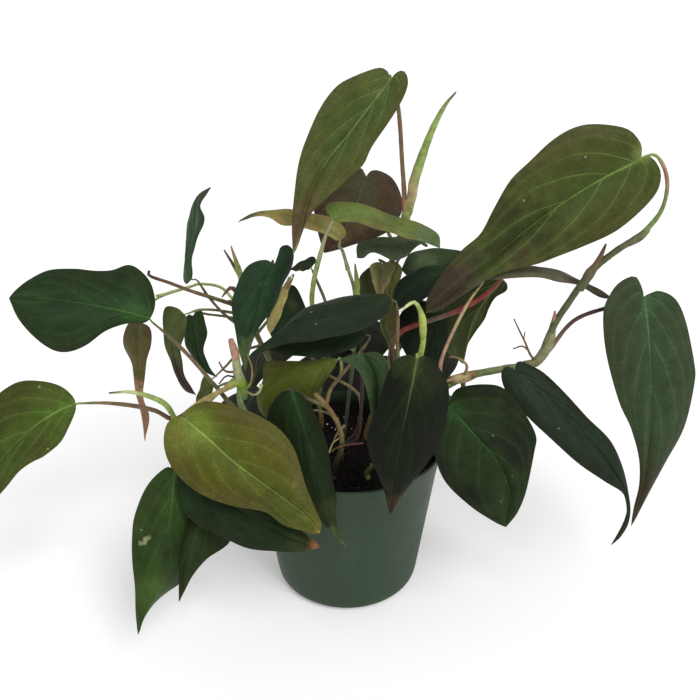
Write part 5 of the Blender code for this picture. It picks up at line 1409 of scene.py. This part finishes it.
def crumb_kind(kind, y):
    """Bark and brown soil, with white mineral and more of that along the front."""
    if kind < (WHITE_SHARE_IN_FRONT if y < FRONT_STRIP else WHITE_SHARE):
        return WHITE_CRUMB
    return BARK_CRUMB if kind < BARK_SHARE else BROWN_CRUMB


def make_soil():
    """The body of soil with its crumbs, as one piece."""
    chance = np.random.default_rng(SEED)
    parts = [soil_body()]
    rim = soil_rings()[0] - CRUMB_INSET
    for _ in range(CRUMBS):
        reach = rim * math.sqrt(chance.uniform(0, 1))
        turn = chance.uniform(0, math.tau)
        x, y = reach * math.cos(turn), reach * math.sin(turn)
        small, large, stretch, tint = crumb_kind(chance.uniform(0, 1), y)
        size = chance.uniform(small, large)
        parts.append(crumb(spot(x, y, soil_surface(x, y) + 0.2 * size), size, stretch, chance, tint))
    soil = merged("soil", parts, soil_look())
    soil.data.set_sharp_from_angle(angle=HARD_EDGE)
    return in_place_of(soil, "soil")


def make_floor(height):
    """A pale studio floor without an edge in sight."""
    shape = bmesh.new()
    bmesh.ops.create_circle(shape, cap_ends=True, segments=FLOOR_SIDES, radius=FLOOR_RADIUS)
    mesh = bpy.data.meshes.new("floor")
    shape.to_mesh(mesh)
    shape.free()
    look, tree, shader = look_of("studio_floor", roughness=0.9, gloss=0.1)
    paint = shaded(tree, colour(FLOOR_PALE), varied(tree, cloud(tree, *FLOOR_CLOUDS), 0.985, 1.0))
    tree.links.new(paint, shader.inputs["Base Color"])
    shader.inputs["Emission Color"].default_value = SKY_COLOUR
    shader.inputs["Emission Strength"].default_value = FLOOR_GLOW
    mesh.materials.append(look)
    floor = piece("floor", mesh)
    floor.location.z = height


def make_light():
    """A white sky and one soft key light."""
    world = bpy.data.worlds.new("studio")
    world.use_nodes = True
    sky = world.node_tree.nodes["Background"]
    sky.inputs["Color"].default_value = SKY_COLOUR
    sky.inputs["Strength"].default_value = SKY_STRENGTH
    bpy.context.scene.world = world
    sun = bpy.data.lights.new("key", "SUN")
    sun.energy = KEY_STRENGTH
    sun.angle = KEY_SOFTNESS
    key = bpy.data.objects.new("key", sun)
    key.rotation_euler = Vector(KEY_FROM).to_track_quat("Z", "Y").to_euler()
    bpy.context.scene.collection.objects.link(key)


def make_camera():
    """The photograph's eye."""
    lens = bpy.data.cameras.new("eye")
    lens.sensor_width = SENSOR
    lens.lens = EYE_FOCAL / PICTURE_SIDE * SENSOR
    lens.clip_start = NEAREST_SEEN
    camera = bpy.data.objects.new("eye", lens)
    camera.location = (EYE_SIDE * MM, -EYE_FRONT * MM, EYE_HEIGHT * MM)
    camera.rotation_euler = (math.pi / 2 - EYE_PITCH, 0, 0)
    bpy.context.scene.collection.objects.link(camera)
    bpy.context.scene.camera = camera


# Where each stem leaves the soil, and its radius there
STEM_FEET = {
    "stem_right": (26, -16, 2.1),
    "stem_top": (12, 18, 2.0),
    "stem_light": (-3, -6, 1.15),
    "stem_left": (-24, -12, 2.0),
    "stem_left_back": (-26, 14, 1.8),
    "stem_red": (24, 8, 1.6),
    "stem_cream": (12, -24, 1.6),
    "stem_front": (-8, -26, 1.6),
    "stem_low_left": (-36, -2, 1.6),
    "stem_back_left": (-16, 32, 1.8),
    "stem_back_right": (20, 32, 1.8),
}


def stalk(leaf_name, way, radius, root_radius, *colours):
    """A leaf stalk from a point inside the stem, along the way, into the underside of the leaf."""
    leaf = LEAF_BY_NAME[leaf_name]
    rib, left, right = lines_of(leaf, BLADE_LINES)
    back = underside(leaf, rib, left, right)
    heel = unit(rib[0] - rib[HEEL_POINT])
    joint = [rib[0] + below * back + behind * heel for below, behind in (STALK_LEAD, STALK_NEAR, STALK_END)]
    return strand(list(way) + joint, (root_radius, radius, radius, STALK_TAPER * radius), *colours)


def foot_of(name, way, *colours):
    """The main stem: it stands in its hole in the soil and goes along the way."""
    x, y, radius = STEM_FEET[name]
    foot = [spot(x, y, SOIL_TOP - STEM_SINK), spot(x, y, SOIL_TOP), spot(x, y, SOIL_TOP + FOOT_RISE)]
    return strand(foot + list(way), (radius, radius * STEM_TAPER), *colours)


def stem_right_pieces():
    first_node = (463, 378, -35)
    second_node = (536, 362, -25)
    third_node = (590, 273, -8)
    fourth_node = (641, 236, 4)
    vine = [(405, 440, -34), (432, 398, -38), first_node, (502, 369, -30), second_node, (548, 338, -21),
        (557, 320, -17), (567, 305, -13), third_node, (616, 251, -2), fourth_node]
    return [
        foot_of("stem_right", vine, BROWN, BROWN, OLIVE, OLIVE, GREEN, GREEN, SAGE, SAGE, MOSS, MOSS, MOSS,
            KHAKI),
        strand([(449, 380, -37), first_node, (478, 373, -33)], (1.9, 2.9, 1.9), BARK, TAN, TAN, ORANGE,
            OLIVE),
        strand([(524, 364, -27), second_node, (548, 345, -22), (553, 326, -18), (555, 311, -16)],
            (1.8, 2.7, 2.7, 1.9, 0.5), OLIVE, SAGE, SAGE, SAGE, PINK),
        strand([(580, 290, -10), third_node, (597, 264, -6), (606, 244, -5)], (1.8, 2.7, 1.6, 0.5), MOSS,
            KHAKI, BROWN, PLUM),
        strand([(628, 244, 1), fourth_node, (648, 229, 6)], (1.7, 2.4, 1.6), KHAKI, KHAKI, FERN),
        stalk("leaf_upper_right", [fourth_node, (660, 213, 12), (667, 190, 20), (665, 170, 24),
                (655, 155, 24)], 1.1, 1.6, FERN, FERN, FERN, PINK, LIGHT, LIGHT),
        stalk("leaf_far_right", [(538, 361, -25), (550, 349, -15), (566, 328, -6), (580, 317, 0),
                (603, 309, 6), (630, 303, 8)], 1.1, 1.5, BLUSH, BARK, PLUM, PLUM, PLUM, PURPLE),
        stalk("leaf_lower_right", [(502, 369, -30), (508, 369, -32)], 1.0, 1.4, GREEN, OLIVE),
        stalk("leaf_front_right", [first_node, (462, 392, -36)], 1.0, 1.5, BARK, GREEN),
        stalk("leaf_grey_edge", [(440, 388, -38), (441, 362, -26), (452, 334, -14), (468, 303, -4)], 0.9,
            1.3, BLUSH, BLUSH, TAN, TAN),
        strand([second_node, (530, 354, -27), (525, 342, -29), (521, 334, -30), (514, 319, -30)],
            (0.75, 0.3), BARK, BARK, BROWN, DARK),
        strand([(526, 345, -29), (524, 338, -29), (525, 332, -29)], (0.4, 0.25), BROWN, DARK),
        strand([(528, 350, -29), (522, 346, -30), (513, 349, -32)], (0.5, 0.3), BROWN, DARK),
        strand([first_node, (467, 366, -38), (458, 358, -41), (449, 357, -42)], (0.9, 0.5), TAN, BROWN),
        strand([(453, 379, -37), (442, 384, -44), (436, 396, -48)], (0.8, 0.45), TAN, BARK),
    ]


def stem_top_pieces():
    node = (406, 216, 12)
    return [
        foot_of("stem_top", [(391, 356, 22), (383, 325, 28), (385, 285, 32), (399, 240, 20), node], BROWN,
            OLIVE, GREEN, GREEN),
        strand([(402, 230, 15), node, (408, 200, 11)], (1.7, 2.5, 1.5), GREEN, LIGHT, PINK),
        stalk("leaf_top", [(405, 220, 12), (404, 190, 12), (402, 160, 12), (400, 125, 12), (397, 100, 12)],
            1.15, 1.5, PINK, BARK, BARK, BARK, OLIVE),
        strand([(408, 214, 12), (412, 195, 10), (415, 178, 8), (430, 135, 5), (444, 107, 3), (456, 92, 2)],
            (2.0, 2.6, 2.4, 1.8, 1.3, 0.4), LIGHT, TAN, LIGHT, LIGHT, LIGHT, BARK),
        stalk("leaf_purple_behind", [(396, 248, 22), (386, 228, 40), (374, 200, 44)], 0.9, 1.2, OLIVE),
        stalk("leaf_dark_under", [(400, 237, 19), (412, 240, 16), (420, 242, 13)], 0.8, 1.1, OLIVE),
        stalk("leaf_brown_hanging", [(386, 276, 30), (388, 266, 24)], 0.8, 1.1, OLIVE),
        stalk("leaf_long_dark", [(384, 305, 30), (420, 288, 38), (462, 276, 38)], 0.9, 1.2, OLIVE),
        stalk("leaf_olive_behind", [(386, 280, 31), (395, 266, 28)], 0.7, 1.0, OLIVE),
        stalk("leaf_olive_behind_light", [(385, 290, 31), (377, 273, 28)], 0.7, 1.0, OLIVE),
        stalk("leaf_dark_behind_shoot", [(383, 318, 29), (412, 302, 32), (434, 304, 25)], 0.8, 1.1, OLIVE),
        stalk("leaf_dark_arc", [(384, 310, 30), (412, 292, 27), (440, 280, 18)], 0.8, 1.1, OLIVE),
    ]


def stem_light_pieces():
    return [
        foot_of("stem_light", [(344, 436, -8), (349, 395, -6), (354, 350, -2), (355, 297, 2),
                (347, 265, 7)], BROWN, DULL, DULL, DULL, OLIVE, LIGHT, PALE),
        stalk("leaf_tan_upper", [(348, 270, 7), (343, 252, 9)], 0.9, 1.3, PALE, PALE, PALE),
        stalk("leaf_light_green", [(354, 350, -2), (318, 322, 1), (312, 303, 0), (314, 280, -2),
                (319, 259, -4), (325, 238, -6)], 1.35, 1.3, LIGHT, LIGHT, LIGHT, PALE, PALE),
        strand([(357, 303, 2), (357, 284, 0), (355, 264, -2)], (1.5, 1.6, 0.4), LIGHT, LIGHT, BARK),
        stalk("leaf_small_behind", [(355, 330, 0), (331, 313, 13), (323, 295, 17), (316, 279, 19)], 0.9,
            1.0, OLIVE, GREY_BROWN, GREY_BROWN),
        strand([(345, 425, -8), (336, 436, -14), (330, 452, -18)], (0.8, 0.4), TAN, BARK),
    ]


def stem_left_pieces():
    node = (240, 381, -36)
    return [
        foot_of("stem_left", [(284, 444, -14), (255, 423, -29), (241, 404, -36), node], BROWN, OLIVE,
            GREY_GREEN, GREY_GREEN, LIGHT),
        strand([(244, 398, -35), node, (226, 388, -39)], (2.2, 3.1, 1.6), GREY_GREEN, LIME, STRAW),
        strand([(245, 388, -35), node, (237, 368, -38), (235, 353, -40), (232, 344, -41), (231, 340, -42)],
            (2.6, 3.2, 2.6, 2.2, 2.1, 2.15, 2.0, 1.4), LIME, LIME, PALE, PALE, PALE, CAP, CAP, CAP),
        stalk("leaf_far_left", [(248, 414, -32), (231, 404, -34), (218, 389, -33), (204, 373, -30),
                (190, 357, -24), (171, 338, -17)], 1.05, 1.5, OLIVE, KHAKI, BARK, KHAKI, OLIVE),
        stalk("leaf_low_far_left", [(232, 386, -38), (217, 393, -41), (199, 403, -43), (175, 419, -43),
                (156, 411, -42), (135, 406, -40), (105, 403, -38)], 1.2, 1.45, STRAW, STRAW, STRAW, BROWN,
            BROWN, BARK, BARK, BARK, OLIVE, LIGHT),
        stalk("leaf_olive_front", [(217, 393, -41), (200, 410, -47)], 1.0, 1.3, STRAW, OLIVE),
        strand([(175, 419, -45), (166, 405, -48), (151, 397, -49), (130, 392, -50), (109, 393, -51)],
            (1.4, 1.5, 1.3, 0.9, 0.4), LIGHT, LIGHT, LIGHT, CREAM, DARK),
        strand([(246, 389, -35), (251, 382, -39), (252, 368, -42), (247, 354, -44)], (0.7, 0.35), CREAM,
            ROOT, ROOT, BARK),
        strand([(236, 372, -37), (225, 371, -42), (219, 362, -45)], (0.7, 0.4), BARK, PURPLE),
        strand([(234, 377, -38), (226, 376, -41), (219, 384, -43)], (0.5, 0.35), DARK, DARK),
        strand([(237, 382, -36), (227, 383, -33), (217, 387, -31)], (0.8, 0.6), GREY_GREEN, GREY_GREEN),
        strand([(250, 386, -37), (255, 372, -36), (258, 358, -33), (263, 352, -30)], (0.45, 0.3), DARK,
            DARK),
        strand([(245, 391, -35), (254, 395, -39), (260, 391, -41), (261, 385, -42)],
            (0.7, 0.6, 0.55, 0.5, 0.5, 1.0), TAN, TAN, CREAM, CREAM),
    ]


def stem_left_back_pieces():
    knot = (238, 306, 20)
    return [
        foot_of("stem_left_back", [(288, 400, 20), (262, 345, 22), knot], BROWN, OLIVE, OLIVE),
        strand([(242, 314, 20), knot, (228, 302, 19)], (1.7, 2.3, 1.4), OLIVE, OLIVE, BROWN),
        strand([knot, (213, 298, 16), (191, 291, 12), (170, 283, 8), (150, 276, 5), (149, 271, 5)],
            (1.2, 0.85), BROWN, KHAKI, BARK, BROWN, DARK),
        strand([knot, (222, 288, 24), (201, 284, 26), (189, 287, 26), (156, 296, 24)], (0.9, 0.7), CREAM,
            LIGHT, CREAM),
        stalk("leaf_left_hanging", [(189, 287, 26), (160, 297, 25), (146, 308, 23)], 0.7, 0.9, CREAM,
            OLIVE),
        stalk("leaf_narrow_upright", [(240, 326, 21), (223, 313, 17), (208, 296, 16)], 0.8, 1.1, OLIVE,
            BARK, OLIVE),
        stalk("leaf_olive_tailed", [(240, 314, 20), (215, 310, 18), (198, 310, 14)], 0.75, 1.0, OLIVE,
            OLIVE, LIGHT),
        stalk("leaf_small_dark", [(244, 320, 21), (222, 316, 25), (206, 314, 26)], 0.7, 1.0, OLIVE),
        stalk("leaf_middle_left", [(250, 325, 20), (272, 296, 14), (271, 278, 6)], 0.9, 1.2, OLIVE),
        stalk("leaf_olive_bit", [(262, 345, 22), (240, 352, 22), (226, 366, 8)], 0.7, 1.0, OLIVE),
        stalk("leaf_tan_strip", [(256, 335, 21), (280, 305, 18), (290, 284, 14)], 0.7, 1.0, OLIVE, TAN),
        stalk("leaf_round_behind", [(262, 345, 22), (257, 325, 38), (268, 302, 44)], 0.7, 1.0, OLIVE),
        strand([knot, (242, 288, 18), (240, 274, 16), (231, 246, 14)], (1.5, 2.0, 1.5, 0.4), LIGHT, CREAM,
            LIGHT, PINK),
        strand([(241, 279, 17), (234, 266, 18), (224, 250, 20)], (1.1, 1.0, 0.4), LIGHT, OLIVE, DARK),
        strand([knot, (236, 292, 12), (230, 288, 9), (222, 297, 7)], (0.9, 1.2, 1.3, 0.4), BROWN, BROWN),
    ]


def stem_red_pieces():
    return [
        foot_of("stem_red", [(395, 400, 6), (392, 350, 2), (400, 333, 0), (416, 325, 0), (438, 318, 2),
                (461, 310, 4)], BROWN, DULL, DULL, DULL, DULL, MAROON, BROWN, ROSE, GREY_BROWN, RED),
        stalk("leaf_dark_right", [(455, 312, 4), (478, 300, 7), (492, 289, 9)], 1.3, 1.35, RED, RED, PINK),
    ]


def stem_cream_pieces():
    return [
        foot_of("stem_cream", [(400, 440, -44), (413, 395, -50), (419, 362, -52), (423, 343, -51),
                (423, 330, -50)], OLIVE, LIGHT, LIGHT, SHOOT, SHOOT),
        strand([(423, 338, -51), (423, 326, -50), (422, 316, -49), (418, 306, -49), (414, 302, -49),
                (408, 305, -50), (400, 312, -50)], (1.4, 1.9, 1.85, 1.2, 0.95, 0.75, 0.3), SHOOT, SHOOT,
            SHOOT, LIGHT, CREAM, WHITE),
        stalk("leaf_front_middle", [(412, 400, -50), (414, 380, -52)], 1.0, 1.4, LIGHT),
        stalk("leaf_middle_lying", [(408, 415, -48), (398, 355, -28), (398, 318, -12)], 1.0, 1.4, OLIVE,
            OLIVE, BARK, OLIVE),
    ]


def stem_front_pieces():
    return [
        foot_of("stem_front", [(342, 446, -33), (338, 424, -34), (326, 405, -34), (315, 394, -33)], DULL,
            DULL, DULL, KHAKI, ROOT, ORANGE, ROOT),
        stalk("leaf_front_left", [(326, 405, -34), (308, 399, -34)], 1.0, 1.3, ROOT, DULL, DULL),
        stalk("leaf_olive_folded", [(326, 405, -34), (331, 388, -28), (341, 374, -21)], 0.9, 1.2, BARK,
            LIGHT),
        stalk("leaf_small_folded", [(342, 446, -33), (357, 438, -34), (361, 410, -36), (362, 384, -36)],
            0.9, 1.2, DARK, MAROON, MAROON, MAROON, DULL),
        stalk("leaf_middle_under", [(331, 388, -28), (352, 362, -18), (366, 344, -8)], 0.8, 1.1, BARK,
            OLIVE),
        strand([(339, 427, -34), (333, 416, -32), (322, 411, -31), (311, 410, -30)], (1.1, 0.7, 0.5), ROOT,
            ROOT, TAN),
        strand([(342, 446, -33), (357, 430, -31), (361, 402, -28), (352, 388, -24), (326, 374, -18)],
            (0.9, 0.9, 0.9, 0.8, 0.7), DARK, MAROON, MAROON, ROOT, ROOT, ROOT, ROOT),
        strand([(327, 455, -34), (335, 449, -35), (346, 445, -36), (363, 443, -36)], (0.5, 0.65, 0.6),
            BARK, BROWN, BROWN, PURPLE, BROWN),
        strand([(341, 437, -33), (333, 443, -34), (330, 450, -35), (328, 455, -36)], (0.3, 0.25), CREAM),
        strand([(318, 404, -32), (326, 408, -33), (338, 419, -34)], (0.35, 0.6), CREAM, TAN),
    ]


def stem_low_left_pieces():
    return [
        foot_of("stem_low_left", [(268, 448, -20), (238, 446, -34), (214, 450, -42)], BROWN, OLIVE, GREEN),
        stalk("leaf_under_olive", [(225, 448, -38), (204, 456, -42)], 0.9, 1.3, GREEN),
        stalk("leaf_low_left", [(216, 449, -41), (188, 458, -48)], 1.0, 1.3, GREEN),
        stalk("leaf_low_left_inner", [(236, 446, -35), (232, 478, -40)], 0.9, 1.2, GREEN),
    ]


def stem_back_left_pieces():
    return [
        foot_of("stem_back_left", [spot(-18, 40, 106), spot(-12, 46, 128)], BROWN, OLIVE, GREEN),
        stalk("leaf_back_high_left", [spot(-16, 42, 114), spot(-30, 50, 132)], 1.0, 1.4, GREEN, BARK,
            GREEN),
        stalk("leaf_back_high_middle", [spot(-13, 45, 124), spot(1, 59, 138)], 1.0, 1.4, GREEN, BARK,
            LIGHT),
        stalk("leaf_back_low_left", [spot(-17, 38, 100), spot(-15, 52, 114)], 1.0, 1.4, OLIVE, GREEN),
        stalk("leaf_back_far_left", [spot(-17, 36, 96), spot(-36, 32, 103), spot(-49, 36, 105)], 1.0, 1.4,
            OLIVE, BARK, GREEN),
    ]


def stem_back_right_pieces():
    return [
        foot_of("stem_back_right", [spot(24, 40, 106), spot(30, 46, 126)], BROWN, OLIVE, GREEN),
        stalk("leaf_back_high_right", [spot(28, 44, 120), spot(38, 50, 138)], 1.0, 1.4, GREEN, BARK, LIGHT),
        stalk("leaf_back_low_right", [spot(23, 38, 100), spot(21, 49, 111)], 1.0, 1.4, OLIVE, GREEN),
        stalk("leaf_back_far_right", [spot(22, 36, 96), spot(40, 34, 104), spot(53, 36, 103)], 1.0, 1.4,
            OLIVE, PINK, GREEN),
    ]


STEMS = [
    ("stem_right", stem_right_pieces),
    ("stem_top", stem_top_pieces),
    ("stem_light", stem_light_pieces),
    ("stem_left", stem_left_pieces),
    ("stem_left_back", stem_left_back_pieces),
    ("stem_red", stem_red_pieces),
    ("stem_cream", stem_cream_pieces),
    ("stem_front", stem_front_pieces),
    ("stem_low_left", stem_low_left_pieces),
    ("stem_back_left", stem_back_left_pieces),
    ("stem_back_right", stem_back_right_pieces),
]


def main():
    make_pot()
    make_soil()
    for number, leaf in enumerate(LEAVES + BACK_LEAVES):
        in_place_of(blade(leaf, number), leaf["name"])
    stalks = stem_look()
    for name, pieces in STEMS:
        in_place_of(merged(name, pieces(), stalks), name)
    make_floor(CAD_BOX[0][2])
    make_light()
    make_camera()
    bpy.context.scene.view_settings.view_transform = "Standard"


main()
